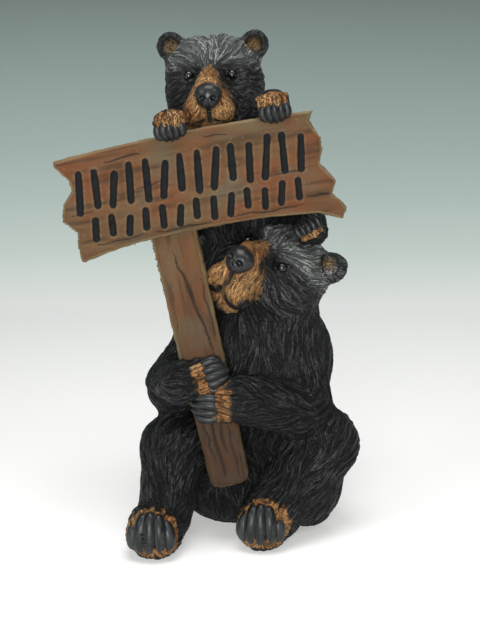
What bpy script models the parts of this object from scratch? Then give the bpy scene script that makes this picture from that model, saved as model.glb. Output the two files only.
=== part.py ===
"""Resin bear figurine: a seated bear holding a signpost, with a cub looking over the board.

The cast is one solid. Its form is a smooth union of balls and tapered limbs, measured in
figure units: one unit is a 45th of the figure's height, and the sign has sizes of its own.
"""
import math

import bmesh
import bpy
import numpy as np
from mathutils import Matrix, Vector

# Driving sizes in metres
FIGURE_HEIGHT = 0.45
BOARD_LENGTH = 0.238
BOARD_HEIGHT = 0.092
BOARD_THICKNESS = 0.015
BOARD_ROUNDING = 0.004
POST_LENGTH = 0.271
POST_WIDTH = 0.041
POST_THICKNESS = 0.022
POST_ROUNDING = 0.005
POST_TAPER = 0.16
STROKE_WIDTH = 0.0055
STROKE_DEPTH = 0.0025
STROKE_PITCH = 0.0145
LONG_STROKE = 0.031
SHORT_STROKE = 0.015

# Angles of the sign, in degrees
BOARD_TILT = 11.0
POST_TILT = 12.7
POST_LEAN = 5.0

# Finish of the faceted solid, in figure units
TRIANGLE_LIMIT = 9800
VOXEL = 0.2
LOCK_WIDTH = 1.3
LOCK_LENGTH = 4.5
LOCK_HEIGHT = 0.16
COLLECTION_NAME = "resin_bear_figurine"
NODE_NAME = "bear_figurine"

UNIT = FIGURE_HEIGHT / 45.0
FOOTPRINT_MIDDLE = (0.56, 0.21, 0.0)
FAR = 10.0
SLACK = 0.6
FLOW_REACH = 1.2
SPHERE_RINGS = 10
SPHERE_SEGMENTS = 16


def vec(*values):
    return np.array(values, dtype=float)


def unit_vector(value):
    value = np.asarray(value, dtype=float)
    return value / np.linalg.norm(value)


def smooth_union(gap, slope, other_gap, other_slope, blend):
    """Join two distance fields, with a fillet about as wide as blend where they cross."""
    overlap = np.maximum(blend - np.abs(gap - other_gap), 0.0) / blend
    share = np.where(gap < other_gap, overlap / 2.0, 1.0 - overlap / 2.0)[:, None]
    joined = np.minimum(gap, other_gap) - overlap * overlap * blend * 0.25
    return joined, slope * (1.0 - share) + other_slope * share


def direction(vectors):
    return vectors / np.maximum(np.linalg.norm(vectors, axis=1), 1e-9)[:, None]


class Pose:
    """A place, a turn and a size that carry a template's points into the figure."""

    def __init__(self, place, turn, size=1.0):
        self.place = np.asarray(place, dtype=float)
        self.turn = np.asarray(turn, dtype=float)
        self.size = size

    def point(self, *local):
        return self.place + self.size * self.turn @ vec(*local)


def head_turn(yaw, pitch, roll):
    """Turn of a head: roll about its own nose line, then pitch, then yaw, in degrees."""
    turn = Matrix.Rotation(math.radians(yaw), 3, "Z")
    turn = turn @ Matrix.Rotation(math.radians(pitch), 3, "X")
    return turn @ Matrix.Rotation(math.radians(roll), 3, "Y")


class Ball:
    """An ellipsoid with its own axes as the columns of turn."""

    def __init__(self, centre, radii, turn=None):
        self.centre = np.asarray(centre, dtype=float)
        self.radii = np.asarray(radii, dtype=float)
        self.turn = np.eye(3) if turn is None else np.asarray(turn, dtype=float)
        self.bound = self.radii.max()

    def measure(self, points):
        """Distance to the surface, below zero inside, and the direction out of it."""
        local = (points - self.centre) @ self.turn
        near = np.linalg.norm(local / self.radii, axis=1)
        outward = local / self.radii ** 2
        steep = np.maximum(np.linalg.norm(outward, axis=1), 1e-9)
        return near * (near - 1.0) / steep, outward / steep[:, None] @ self.turn.T

    def add_mesh(self, bm):
        frame = Matrix.Translation(Vector(self.centre)) @ Matrix(self.turn).to_4x4()
        frame = frame @ Matrix.Diagonal(Vector((*self.radii, 1.0)))
        bmesh.ops.create_uvsphere(
            bm, u_segments=SPHERE_SEGMENTS, v_segments=SPHERE_RINGS, radius=1.0, matrix=frame)


class Limb:
    """A round bar whose radius runs from one end's value to the other's."""

    def __init__(self, start, end, start_radius, end_radius):
        self.start = np.asarray(start, dtype=float)
        self.end = np.asarray(end, dtype=float)
        self.radii = (start_radius, end_radius)
        self.centre = (self.start + self.end) / 2.0
        self.bound = np.linalg.norm(self.end - self.start) / 2.0 + max(self.radii)

    def measure(self, points):
        axis = self.end - self.start
        offset = points - self.start
        share = np.clip(offset @ axis / (axis @ axis), 0.0, 1.0)
        radius = self.radii[0] + share * (self.radii[1] - self.radii[0])
        away = offset - share[:, None] * axis
        return np.linalg.norm(away, axis=1) - radius, direction(away)

    def add_mesh(self, bm):
        vertices = []
        for place, radius in zip((self.start, self.end), self.radii):
            made = bmesh.ops.create_uvsphere(
                bm, u_segments=SPHERE_SEGMENTS, v_segments=SPHERE_RINGS, radius=radius,
                matrix=Matrix.Translation(Vector(place)))
            vertices += made["verts"]
        faces = list({face for vertex in vertices for face in vertex.link_faces})
        bmesh.ops.delete(bm, geom=faces, context="FACES_ONLY")
        hull = bmesh.ops.convex_hull(bm, input=vertices)
        spare = hull["geom_interior"] + hull["geom_unused"]
        bmesh.ops.delete(bm, geom=spare, context="VERTS")


class Plank:
    """A flat outline in a tilted plane, with thickness and rounded edges."""

    def __init__(self, outline, origin, across, up, thickness, rounding):
        self.outline = np.asarray(outline, dtype=float)
        self.origin = np.asarray(origin, dtype=float)
        self.across = unit_vector(across)
        self.up = unit_vector(up)
        self.back = np.cross(self.up, self.across)
        self.thickness = thickness
        self.rounding = rounding
        middle = (self.outline.min(axis=0) + self.outline.max(axis=0)) / 2.0
        self.centre = self.point(middle[0], middle[1], thickness / 2.0)
        self.bound = np.linalg.norm(self.outline - middle, axis=1).max() + thickness

    def point(self, across, up, deep=0.0):
        """A point of the plank, with deep counted from its front face."""
        return self.origin + across * self.across + up * self.up + deep * self.back

    def measure(self, points):
        offset = points - self.origin
        flat = np.stack((offset @ self.across, offset @ self.up), axis=1)
        nearest = np.full(len(points), np.inf)
        away = np.zeros((len(points), 2))
        inside = np.zeros(len(points), dtype=bool)
        for start, end in zip(self.outline, np.roll(self.outline, -1, axis=0)):
            side = end - start
            reach = flat - start
            share = np.clip(reach @ side / (side @ side), 0.0, 1.0)
            gap = reach - share[:, None] * side
            square = (gap * gap).sum(axis=1)
            closer = square < nearest
            nearest = np.where(closer, square, nearest)
            away[closer] = gap[closer]
            above = (start[1] > flat[:, 1]) != (end[1] > flat[:, 1])
            rise = end[1] - start[1] if end[1] != start[1] else 1e-9
            inside ^= above & (flat[:, 0] < start[0] + (flat[:, 1] - start[1]) * side[0] / rise)
        sign = np.where(inside, -1.0, 1.0)
        around = direction(away) * sign[:, None]
        edge = np.sqrt(nearest) * sign + self.rounding
        middle = offset @ self.back - self.thickness / 2.0
        depth = np.abs(middle) - self.thickness / 2.0 + self.rounding
        outer = np.hypot(np.maximum(edge, 0.0), np.maximum(depth, 0.0))
        gap = outer + np.minimum(np.maximum(edge, depth), 0.0) - self.rounding
        corner = np.maximum(outer, 1e-9)
        edge_share = np.where(outer > 0.0, np.maximum(edge, 0.0) / corner, edge > depth)
        depth_share = np.where(outer > 0.0, np.maximum(depth, 0.0) / corner, edge <= depth)
        slope = np.outer(edge_share * around[:, 0], self.across)
        slope += np.outer(edge_share * around[:, 1], self.up)
        slope += np.outer(depth_share * np.sign(middle), self.back)
        return gap, slope

    def add_mesh(self, bm):
        corners = [bm.verts.new(self.point(across, up)) for across, up in self.outline]
        face = bm.faces.new(corners)
        grown = bmesh.ops.extrude_face_region(bm, geom=[face])
        moved = [item for item in grown["geom"] if isinstance(item, bmesh.types.BMVert)]
        bmesh.ops.translate(bm, verts=moved, vec=Vector(self.back * self.thickness))


class Form:
    """Shapes joined one after another, each with its own blend, and shallow cuts in them."""

    def __init__(self):
        self.steps = []
        self.flows = []

    def add(self, shape, blend, flow=None, source=None):
        """Join a shape. Its fur runs along flow, or away from the point source."""
        self.steps.append((shape, blend, False))
        self.flows.append((shape, flow, source))
        return shape

    def cut(self, shape, blend):
        self.steps.append((shape, blend, True))
        return shape

    def measure(self, points):
        """Distance and outward slope of the joined shapes, for points close to them."""
        gap = np.full(len(points), FAR)
        slope = np.zeros((len(points), 3))
        slope[:, 2] = 1.0
        for shape, blend, cutting in self.steps:
            near = points_near(points, shape, blend + SLACK)
            if len(near) == 0:
                continue
            other_gap, other_slope = shape.measure(points[near])
            if cutting:
                joined, joined_slope = smooth_union(
                    -gap[near], -slope[near], other_gap, other_slope, blend)
                gap[near], slope[near] = -joined, -joined_slope
            else:
                gap[near], slope[near] = smooth_union(
                    gap[near], slope[near], other_gap, other_slope, blend)
        return gap, slope

    def flow(self, points):
        """Direction of the fur, and how much of it there is, from the shapes close by."""
        total = np.zeros((len(points), 3))
        weight = np.full(len(points), 1e-9)
        for shape, flow, source in self.flows:
            near = points_near(points, shape, FLOW_REACH)
            if len(near) == 0:
                continue
            gap, _ = shape.measure(points[near])
            share = np.exp(-6.0 * np.maximum(gap, -0.1))
            weight[near] += share
            if source is not None:
                total[near] += share[:, None] * direction(points[near] - source)
            elif flow is not None:
                total[near] += share[:, None] * unit_vector(flow)
        return total / weight[:, None]


def points_near(points, shape, reach):
    gap = points - shape.centre
    return np.nonzero((gap * gap).sum(axis=1) < (shape.bound + reach) ** 2)[0]


# The sign: a torn board on a leaning post

BOARD_MIDDLE = vec(-0.6, -5.9, 31.9)
SIGN_BLEND = 0.1
BOARD_TOP_SAG = 0.055
BOARD_FOOT_SAG = 0.10
EDGE_STEPS = 12
# Each tear lists points up the end: share of the height, share of the length lost there
RIGHT_TEAR = ((-0.06, 0.02), (0.03, 0.0), (0.12, 0.018), (0.19, 0.045), (0.30, 0.022),
              (0.48, 0.068), (0.60, 0.048), (0.70, 0.046), (0.88, 0.08), (0.95, 0.057))
LEFT_TEAR = ((0.0, 0.04), (0.15, 0.035), (0.27, 0.045), (0.40, 0.0), (0.55, 0.015),
             (0.65, 0.055), (0.75, 0.055), (0.90, 0.012))


def board_outline():
    """Torn ends joined by a long edge above and one below, both sagging at their ends."""
    length = BOARD_LENGTH / UNIT
    height = BOARD_HEIGHT / UNIT
    half = length / 2.0
    reach_right = half - RIGHT_TEAR[-1][1] * length
    reach_left = LEFT_TEAR[-1][1] * length - half
    points = []
    for share, lost in RIGHT_TEAR:
        points.append((half - lost * length, (share - 0.5) * height))
    for step in range(EDGE_STEPS + 1):
        across = reach_right + (reach_left - reach_right) * step / EDGE_STEPS
        points.append((across, board_top(across)))
    for share, lost in reversed(LEFT_TEAR):
        points.append((lost * length - half, (share - 0.5) * height))
    start = LEFT_TEAR[0][1] * length - half
    end = half - RIGHT_TEAR[0][1] * length
    for step in range(1, EDGE_STEPS):
        across = start + (end - start) * step / EDGE_STEPS
        sag = 1.0 - (across / half) ** 2
        points.append((across, (BOARD_FOOT_SAG * sag - 0.5) * height))
    return points


def board_top(across):
    """Height of the board's top edge above its middle line."""
    height = BOARD_HEIGHT / UNIT
    half = BOARD_LENGTH / UNIT / 2.0
    return (0.5 - BOARD_TOP_SAG * (across / half) ** 2) * height


def tilted(degrees):
    """Two unit directions in the upright plane: across and up, turned by an angle."""
    angle = math.radians(degrees)
    return vec(math.cos(angle), 0.0, math.sin(angle)), vec(-math.sin(angle), 0.0, math.cos(angle))


def make_board():
    across, up = tilted(BOARD_TILT)
    return Plank(board_outline(), BOARD_MIDDLE, across, up,
                 BOARD_THICKNESS / UNIT, BOARD_ROUNDING / UNIT)


POST_TOP_ON_BOARD = vec(-3.1, 0.9)
POST_SET_BACK = 0.75
# The rounded foot: share of the half width, and height over the end
POST_FOOT = ((-1.0, 0.75), (-0.86, 0.22), (-0.45, 0.0), (0.5, 0.02), (0.88, 0.28), (1.0, 0.8))


def make_post(board):
    """The post hangs from the board's back and leans out of the upright as it goes down."""
    across, up = tilted(POST_TILT)
    lean = Matrix.Rotation(math.radians(-POST_LEAN), 3, Vector(across))
    up = np.asarray(lean @ Vector(up))
    top = board.point(*POST_TOP_ON_BOARD, BOARD_THICKNESS / UNIT * POST_SET_BACK)
    length = POST_LENGTH / UNIT
    half = POST_WIDTH / UNIT / 2.0
    foot = half * (1.0 - POST_TAPER)
    outline = [(-half, 0.0)]
    for share, rise in POST_FOOT:
        outline.append((share * foot, rise - length))
    outline.append((half, 0.0))
    return Plank(outline, top, across, up, POST_THICKNESS / UNIT, POST_ROUNDING / UNIT)


STROKE_COUNT = 14
STROKE_SHIFT = -0.5
STROKE_LEAN = 9.0
STROKE_TAPER = 0.85
LONG_ROW = 1.15
SHORT_ROW = -2.05


def cut_strokes(form, board):
    """Two rows of plain slanting gouges where the sign has its carving."""
    pitch = STROKE_PITCH / UNIT
    radius = STROKE_WIDTH / UNIT / 2.0
    lift = radius - STROKE_DEPTH / UNIT
    lean = math.tan(math.radians(STROKE_LEAN))
    rows = ((LONG_ROW, LONG_STROKE / UNIT, STROKE_COUNT),
            (SHORT_ROW, SHORT_STROKE / UNIT, STROKE_COUNT - 1))
    for level, length, count in rows:
        for index in range(count):
            across = (index - (count - 1) / 2.0) * pitch + STROKE_SHIFT
            rise = 0.18 * math.sin(2.3 * index)
            half = length * (0.46 + 0.05 * math.cos(1.7 * index))
            start = board.point(across + lean * half, level + rise + half, -lift)
            end = board.point(across - lean * half, level + rise - half, -lift)
            form.cut(Limb(start, end, radius * STROKE_TAPER, radius), SIGN_BLEND)


# Heads, drawn once in their own units and placed twice

NOSE = (0.0, -6.15, -1.35)
NOSE_RADII = (1.14, 0.82, 0.8)
NOSE_TIP_RADII = (0.78, 0.72, 0.72)
EYE = (1.85, -3.12, 0.42)
EYE_RADIUS = 0.42
EAR = (3.7, 0.45, 3.1)


def add_head(form, pose, jaw_drop):
    """A bear's head that looks along its own -Y. Fur runs back from between the eyes."""
    size = pose.size
    source = pose.point(0.0, -6.0, 0.4)

    def ball(place, radii, blend):
        form.add(Ball(pose.point(*place), vec(*radii) * size, pose.turn), blend * size, source=source)

    def limb(start, end, start_radius, end_radius, blend):
        shape = Limb(pose.point(*start), pose.point(*end), start_radius * size, end_radius * size)
        form.add(shape, blend * size, source=source)

    ball((0.0, 0.5, 0.3), (3.75, 3.8, 3.5), 1.2)
    limb((0.0, -1.9, -1.2), (0.0, -4.4, -1.5), 2.35, 1.65, 1.5)
    limb((0.0, -2.6, 0.75), (0.0, -5.2, -0.5), 0.85, 0.9, 0.9)
    for side in (-1.0, 1.0):
        ball((side * 1.85, 0.6, 1.65), (2.1, 2.6, 1.95), 1.5)
        ball((side * 2.05, -0.2, -1.0), (2.1, 2.8, 2.3), 1.5)
        limb((side * 0.85, -2.7, 1.85), (side * 2.7, -2.2, 1.5), 0.6, 0.5, 0.9)
        ball((side * 1.0, -4.75, -2.2 - 0.6 * jaw_drop), (1.2, 1.45, 1.2), 0.4)
        ball((side * EAR[0], EAR[1], EAR[2]), (1.25, 0.8, 1.27), 0.6)
        hollow = pose.point(side * EAR[0] * 0.985, EAR[1] - 0.78, EAR[2] - 0.05)
        form.cut(Ball(hollow, vec(0.8, 0.7, 0.82) * size, pose.turn), 0.2 * size)
    add_jaw(form, pose, jaw_drop, source)
    for side in (-1.0, 1.0):
        socket = pose.point(side * EYE[0], EYE[1] - 0.35, EYE[2])
        form.cut(Ball(socket, vec(0.6, 0.45, 0.52) * size, pose.turn), 0.35 * size)
        eye = pose.point(side * EYE[0], EYE[1], EYE[2])
        form.add(Ball(eye, vec(EYE_RADIUS, EYE_RADIUS, EYE_RADIUS) * size), 0.05)
    groove_top = pose.point(0.0, NOSE[1] + 0.25, NOSE[2] - 0.7)
    groove_foot = pose.point(0.0, -5.3, -3.35 - 0.5 * jaw_drop)
    form.cut(Limb(groove_top, groove_foot, 0.2 * size, 0.2 * size), 0.15 * size)
    add_nose(form, pose)


def add_jaw(form, pose, drop, source):
    """Lower jaw, hinged below the ears and opened by drop, with the dark gap over it."""
    size = pose.size
    back = pose.point(0.0, -1.6, -2.2)
    tip = pose.point(0.0, -4.2, -3.1 - 1.3 * drop)
    form.add(Limb(back, tip, 1.6 * size, (1.0 - 0.25 * drop) * size), 0.4 * size, source=source)
    narrow = (0.14 + 0.04 * drop) * size
    wide = (0.2 + 0.14 * drop) * size
    for side in (-1.0, 1.0):
        corner = pose.point(side * 2.35, -3.0, -3.15 - 0.9 * drop)
        lip = pose.point(side * 1.15, -5.3, -3.5 - 0.6 * drop)
        middle = pose.point(0.0, -5.6, -3.25 - 0.6 * drop)
        form.cut(Limb(corner, lip, narrow, wide), 0.15 * size)
        form.cut(Limb(lip, middle, wide, wide), 0.15 * size)


def add_nose(form, pose):
    """A leathery pad, broad above and narrow below, with two nostrils in its front."""
    size = pose.size
    upper = pose.point(NOSE[0], NOSE[1], NOSE[2] + 0.2)
    lower = pose.point(NOSE[0], NOSE[1], NOSE[2] - 0.38)
    form.add(Ball(upper, vec(*NOSE_RADII) * size, pose.turn), 0.15 * size)
    form.add(Ball(lower, vec(*NOSE_TIP_RADII) * size, pose.turn), 0.5 * size)
    for side in (-1.0, 1.0):
        nostril = pose.point(side * 0.47, NOSE[1] - 0.72, NOSE[2] - 0.2)
        form.cut(Ball(nostril, vec(0.25, 0.34, 0.2) * size, pose.turn), 0.12 * size)


# Paws and feet

CLAW_COUNT = 5
CLAW_BLEND = 0.06
TOE_RADII = (0.52, 0.66, 0.46)
TOE_FAN = 0.74


def claw_places():
    """Places of the claws across a paw, from -1 on one side to 1 on the other."""
    half = (CLAW_COUNT - 1) / 2.0
    return [(index - half) / half for index in range(CLAW_COUNT)]


def add_claw(form, start, middle, tip, radii):
    form.add(Limb(start, middle, radii[0], radii[1]), CLAW_BLEND)
    form.add(Limb(middle, tip, radii[1], radii[2]), CLAW_BLEND)


def add_paw(form, centre, forward, outward, size, spread, length, thick, cuff, root=0.0):
    """A palm with five claws side by side on its outward face, and a cuff of fur behind them.

    The claws start at root, measured forward from the centre.
    """
    forward = unit_vector(forward)
    outward = unit_vector(outward - forward * np.dot(outward, forward))
    sideways = np.cross(forward, outward)
    turn = np.stack((sideways, forward, outward), axis=1)
    form.add(Ball(centre, vec(spread, length * 0.8, thick) * size, turn), 0.5 * size, flow=forward)
    form.add(Ball(centre + forward * (root - cuff * 0.5 - 0.2) * size,
                  vec(spread * 1.02, cuff * 0.5 + 0.35, thick * 1.1) * size, turn),
             0.3 * size, flow=forward)
    radius = spread / CLAW_COUNT * 1.42
    radii = (radius * 0.85 * size, radius * size, radius * 0.7 * size)
    for place in claw_places():
        side = place * (spread - radius * 0.6)
        height = thick * (1.0 - 0.32 * place * place)
        start = side * 0.92 * sideways + forward * root + outward * (height - radius * 0.45)
        middle = side * sideways + forward * (root + length) * 0.5 + outward * (height - radius * 0.6)
        tip = side * 0.8 * sideways + forward * length * (0.95 - 0.18 * place * place)
        tip = tip + outward * height * 0.3
        add_claw(form, centre + size * start, centre + size * middle, centre + size * tip, radii)


# The large bear

def add_torso(form):
    form.add(Ball(vec(3.6, 2.4, 9.2), vec(7.3, 6.0, 7.4)), 0.5, flow=(0.0, -0.1, -1.0))
    form.add(Ball(vec(3.4, 4.6, 5.0), vec(7.4, 6.0, 5.6)), 2.0, flow=(0.0, 0.3, -1.0))
    form.add(Ball(vec(2.6, 1.6, 3.6), vec(5.2, 4.6, 4.0)), 1.5, flow=(0.0, -0.5, -1.0))
    form.add(Ball(vec(5.0, 1.5, 15.4), vec(5.9, 5.0, 5.4)), 2.0, flow=(-0.1, -0.1, -1.0))
    form.add(Ball(vec(2.0, 0.3, 16.2), vec(4.2, 4.5, 4.8)), 2.0, flow=(-0.1, -0.1, -1.0))
    form.add(Limb(vec(5.2, 1.7, 18.0), vec(5.9, 0.9, 22.0), 4.9, 4.1), 2.0, flow=(0.1, 0.0, -1.0))
    form.add(Ball(vec(3.4, 10.15, 6.4), vec(1.0, 0.75, 1.5)), 0.8, flow=(0.0, 0.2, -1.0))
    form.add(Ball(vec(1.9, 1.3, 24.0), vec(3.0, 3.0, 3.4)), 1.5, flow=(-0.4, 0.0, -1.0))


LEFT_SHOULDER = vec(0.0, 0.9, 17.0)
LEFT_ELBOW = vec(-2.9, -2.2, 13.8)
RIGHT_SHOULDER = vec(8.3, 0.9, 16.2)
RIGHT_ELBOW = vec(8.6, -2.2, 11.6)
LEFT_GRIP_DOWN = 17.2
RIGHT_GRIP_DOWN = 19.6


def add_arms(form, post):
    """Both forepaws lie over the post's front, one above the other."""
    front = post.back * -1.0
    left = post.point(-0.2, -LEFT_GRIP_DOWN, -0.35)
    right = post.point(0.35, -RIGHT_GRIP_DOWN, -0.35)
    left_wrist = left - post.across * 1.7 - front * 0.15
    right_wrist = right + post.across * 1.9 - front * 0.15
    form.add(Limb(LEFT_SHOULDER, LEFT_ELBOW, 3.1, 2.45), 1.3, flow=(-0.5, -0.3, -1.0))
    form.add(Limb(LEFT_ELBOW, left_wrist, 2.35, 1.85), 0.9, flow=left_wrist - LEFT_ELBOW)
    form.add(Limb(RIGHT_SHOULDER, RIGHT_ELBOW, 3.0, 2.45), 1.3, flow=(0.1, -0.5, -1.0))
    form.add(Limb(RIGHT_ELBOW, right_wrist, 2.4, 1.95), 0.9, flow=right_wrist - RIGHT_ELBOW)
    add_paw(form, left, post.across + 0.1 * post.up, front, 1.0, 1.6, 2.2, 1.15, 1.05, 0.45)
    add_paw(form, right, post.up * 0.25 - post.across, front, 1.0, 1.6, 2.0, 1.15, 1.3)


LEFT_KNEE = vec(-2.7, -3.2, 8.2)
LEFT_ANKLE = vec(-3.7, -6.4, 3.2)
LEFT_FOOT = vec(-4.55, -7.75, 2.05)
RIGHT_KNEE = vec(10.4, -1.4, 8.1)
RIGHT_ANKLE = vec(6.1, -4.7, 3.0)
RIGHT_FOOT = vec(4.9, -5.75, 2.05)


def add_legs(form):
    form.add(Limb(vec(0.6, 3.4, 6.0), LEFT_KNEE, 4.3, 3.1), 1.3, flow=(-0.6, -1.0, 0.0))
    form.add(Limb(LEFT_KNEE, LEFT_ANKLE, 3.0, 2.4), 1.0, flow=LEFT_ANKLE - LEFT_KNEE)
    form.add(Limb(vec(7.4, 3.6, 5.6), RIGHT_KNEE, 4.4, 3.2), 1.3, flow=(0.6, -1.0, 0.2))
    form.add(Ball(vec(8.8, -0.6, 4.3), vec(3.5, 4.4, 4.1)), 1.3, flow=(-0.5, -0.3, -1.0))
    form.add(Limb(RIGHT_KNEE, RIGHT_ANKLE, 3.15, 2.7), 1.0, flow=RIGHT_ANKLE - RIGHT_KNEE)
    for foot in (LEFT_FOOT, RIGHT_FOOT):
        form.add(Ball(foot, vec(2.45, 2.75, 2.4)), 0.8, source=foot + vec(0.0, -2.6, -0.2))
        add_foot(form, foot, vec(-0.1, -1.0, 0.25))


def add_foot(form, foot, outward):
    """Five toes fan down over the front of the foot to points near the floor."""
    down = vec(0.0, 0.0, -1.0)
    outward = unit_vector(outward)
    sideways = np.cross(down, outward)
    for place in claw_places():
        angle = TOE_FAN * place
        ray = outward * math.cos(angle) + sideways * math.sin(angle)
        start = foot + ray * 1.85 + vec(0.0, 0.0, 1.5 - 0.75 * place * place)
        middle = foot + ray * 2.35 + vec(0.0, 0.0, 0.15 - 0.25 * place * place)
        tip = foot + ray * 2.3 + vec(0.0, 0.0, 0.2 * place * place - 1.55)
        add_claw(form, start, middle, tip, TOE_RADII)


LARGE_HEAD = Pose((5.75, 0.0, 24.08), head_turn(-17.7, -22.7, 35.8), 1.12)
LARGE_JAW_DROP = 0.95


# The cub

CUB_HEAD = Pose((0.55, 0.8, 40.57), head_turn(-3.0, 0.0, -1.5), 1.0)
CUB_LEFT_PAW = -1.4
CUB_RIGHT_PAW = 7.4
CUB_PAW_RISE = 0.7
CUB_FOOT = vec(8.95, -3.3, 27.8)


def add_cub(form, board):
    form.add(Limb(vec(0.9, 0.3, 37.0), vec(2.0, -0.2, 32.3), 3.5, 4.4), 1.5, flow=(0.0, 0.1, -1.0))
    form.add(Ball(vec(3.4, 2.2, 28.2), vec(4.5, 4.6, 4.8)), 1.5, flow=(0.0, 0.3, -1.0))
    front = board.back * -1.0
    shoulders = ((CUB_LEFT_PAW, vec(-1.7, -0.2, 36.3)), (CUB_RIGHT_PAW, vec(3.7, -0.2, 36.7)))
    for across, shoulder in shoulders:
        paw = board.point(across, board_top(across) + CUB_PAW_RISE, 0.15)
        wrist = paw - front * 1.2 + board.up * 0.1
        form.add(Limb(shoulder, wrist, 1.9, 1.3), 0.9, flow=wrist - shoulder)
        add_paw(form, paw, -board.up, front, 0.82, 1.6, 1.5, 1.3, 0.8)
    knee = vec(8.3, 0.2, 30.6)
    form.add(Limb(vec(5.2, 2.6, 29.2), knee, 2.6, 1.9), 1.2, flow=(1.0, -0.6, 0.3))
    form.add(Limb(knee, CUB_FOOT + vec(0.4, 1.0, -0.2), 1.8, 1.25), 0.8, flow=(0.2, -1.0, -0.8))
    add_paw(form, CUB_FOOT, vec(-0.5, 0.0, 0.85), front, 0.8, 1.55, 1.6, 1.3, 0.7)
    form.add(Limb(vec(1.6, 2.4, 29.0), vec(-0.6, 0.2, 29.8), 2.6, 1.9), 1.2, flow=(-1.0, -0.6, 0.2))
    form.add(Limb(vec(-0.6, 0.2, 29.8), vec(-1.7, -1.8, 27.9), 1.8, 1.2), 0.8, flow=(-0.2, -1.0, -0.8))


def build_forms():
    """The fur-covered figures and the smooth sign, kept apart until the last union."""
    board = make_board()
    post = make_post(board)
    sign = Form()
    sign.add(board, SIGN_BLEND)
    sign.add(post, SIGN_BLEND)
    cut_strokes(sign, board)
    figures = Form()
    add_torso(figures)
    add_legs(figures)
    add_arms(figures, post)
    add_head(figures, LARGE_HEAD, LARGE_JAW_DROP)
    add_cub(figures, board)
    add_head(figures, CUB_HEAD, 0.0)
    return figures, sign


class Cast:
    """The whole casting: the figures and the sign with a small fillet where they meet."""

    MEETING_BLEND = 0.25

    def __init__(self, figures, sign):
        self.parts = (figures, sign)

    def measure(self, points):
        figures, sign = self.parts
        return smooth_union(*figures.measure(points), *sign.measure(points), self.MEETING_BLEND)


def lattice_noise(points, cell, seed):
    """Smooth random values between 0 and 1 on a lattice of the given cell size."""
    place = points / cell
    corner = np.floor(place).astype(np.int64)
    share = place - corner
    share = share * share * (3.0 - 2.0 * share)
    value = np.zeros(len(points))
    for index in range(8):
        step = np.array([index & 1, index >> 1 & 1, index >> 2 & 1])
        key = (corner + step) @ np.array([73856093, 19349663, 83492791]) + seed * 2654435761
        key = (key ^ key >> 13) * 1274126177 & 0x7FFFFFFF
        key = (key ^ key >> 15) & 0xFFFF
        weight = np.where(step == 1, share, 1.0 - share).prod(axis=1)
        value += weight * key / 65535.0
    return value


def lock_height(points, flow):
    """Noise smeared along the fur: long shallow ridges, as wide as a carved lock."""
    wander = lattice_noise(points, 4.0, 5) - 0.5
    lean = np.cross(flow, points / np.linalg.norm(points, axis=1)[:, None])
    along = flow + 0.5 * wander[:, None] * lean
    samples = 9
    total = np.zeros(len(points))
    for step in range(samples):
        offset = (step / (samples - 1) - 0.5) * LOCK_LENGTH
        total += lattice_noise(points + offset * along, LOCK_WIDTH, 11)
    total = total / samples - 0.5
    return np.clip(total * 5.0, -1.0, 1.0)


def mesh_from_modifier(obj):
    """Bake an object's modifiers into a new mesh and clear them."""
    graph = bpy.context.evaluated_depsgraph_get()
    mesh = bpy.data.meshes.new_from_object(obj.evaluated_get(graph))
    old = obj.data
    obj.modifiers.clear()
    obj.data = mesh
    bpy.data.meshes.remove(old)


def remesh(obj, voxel):
    modifier = obj.modifiers.new("Voxels", "REMESH")
    modifier.mode = "VOXEL"
    modifier.voxel_size = voxel
    modifier.adaptivity = 0.0
    mesh_from_modifier(obj)


def read_points(mesh):
    flat = np.empty(len(mesh.vertices) * 3)
    mesh.vertices.foreach_get("co", flat)
    return flat.reshape(-1, 3)


def write_points(mesh, points):
    mesh.vertices.foreach_set("co", np.ascontiguousarray(points, dtype=np.float32).ravel())
    mesh.update()


def settle(mesh, cast, rounds):
    """Move every vertex onto the smooth surface."""
    points = read_points(mesh)
    for _ in range(rounds):
        gap, slope = cast.measure(points)
        size = np.maximum((slope * slope).sum(axis=1), 0.2)
        move = np.clip(gap / size, -0.3, 0.3)
        points = points - move[:, None] * slope
    write_points(mesh, points)


def raise_locks(mesh, figures, sign):
    points = read_points(mesh)
    gap, slope = figures.measure(points)
    slope = direction(slope)
    flow = figures.flow(points)
    flow -= (flow * slope).sum(axis=1)[:, None] * slope
    length = np.linalg.norm(flow, axis=1)
    furry = np.clip(length * 2.0 - 0.2, 0.0, 1.0) * np.clip(1.0 - np.abs(gap) * 4.0, 0.0, 1.0)
    furry *= np.clip(sign.measure(points)[0] * 2.0, 0.0, 1.0)
    flow /= np.maximum(length, 1e-6)[:, None]
    rise = lock_height(points, flow) * furry * LOCK_HEIGHT
    write_points(mesh, points + rise[:, None] * slope)


def flatten_underside(mesh):
    """Cut the feet and the seat off flat at the floor."""
    bm = bmesh.new()
    bm.from_mesh(mesh)
    bmesh.ops.bisect_plane(
        bm, geom=bm.verts[:] + bm.edges[:] + bm.faces[:], dist=0.0005,
        plane_co=(0.0, 0.0, 0.0), plane_no=(0.0, 0.0, 1.0), clear_inner=True)
    rim = [edge for edge in bm.edges if edge.is_boundary]
    bmesh.ops.holes_fill(bm, edges=rim, sides=0)
    bmesh.ops.triangulate(bm, faces=bm.faces[:])
    bmesh.ops.recalc_face_normals(bm, faces=bm.faces[:])
    bm.to_mesh(mesh)
    bm.free()


def reduce_mesh(obj, limit):
    modifier = obj.modifiers.new("Facets", "DECIMATE")
    modifier.ratio = limit / sum(len(face.vertices) - 2 for face in obj.data.polygons)
    modifier.use_collapse_triangulate = True
    mesh_from_modifier(obj)


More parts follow.
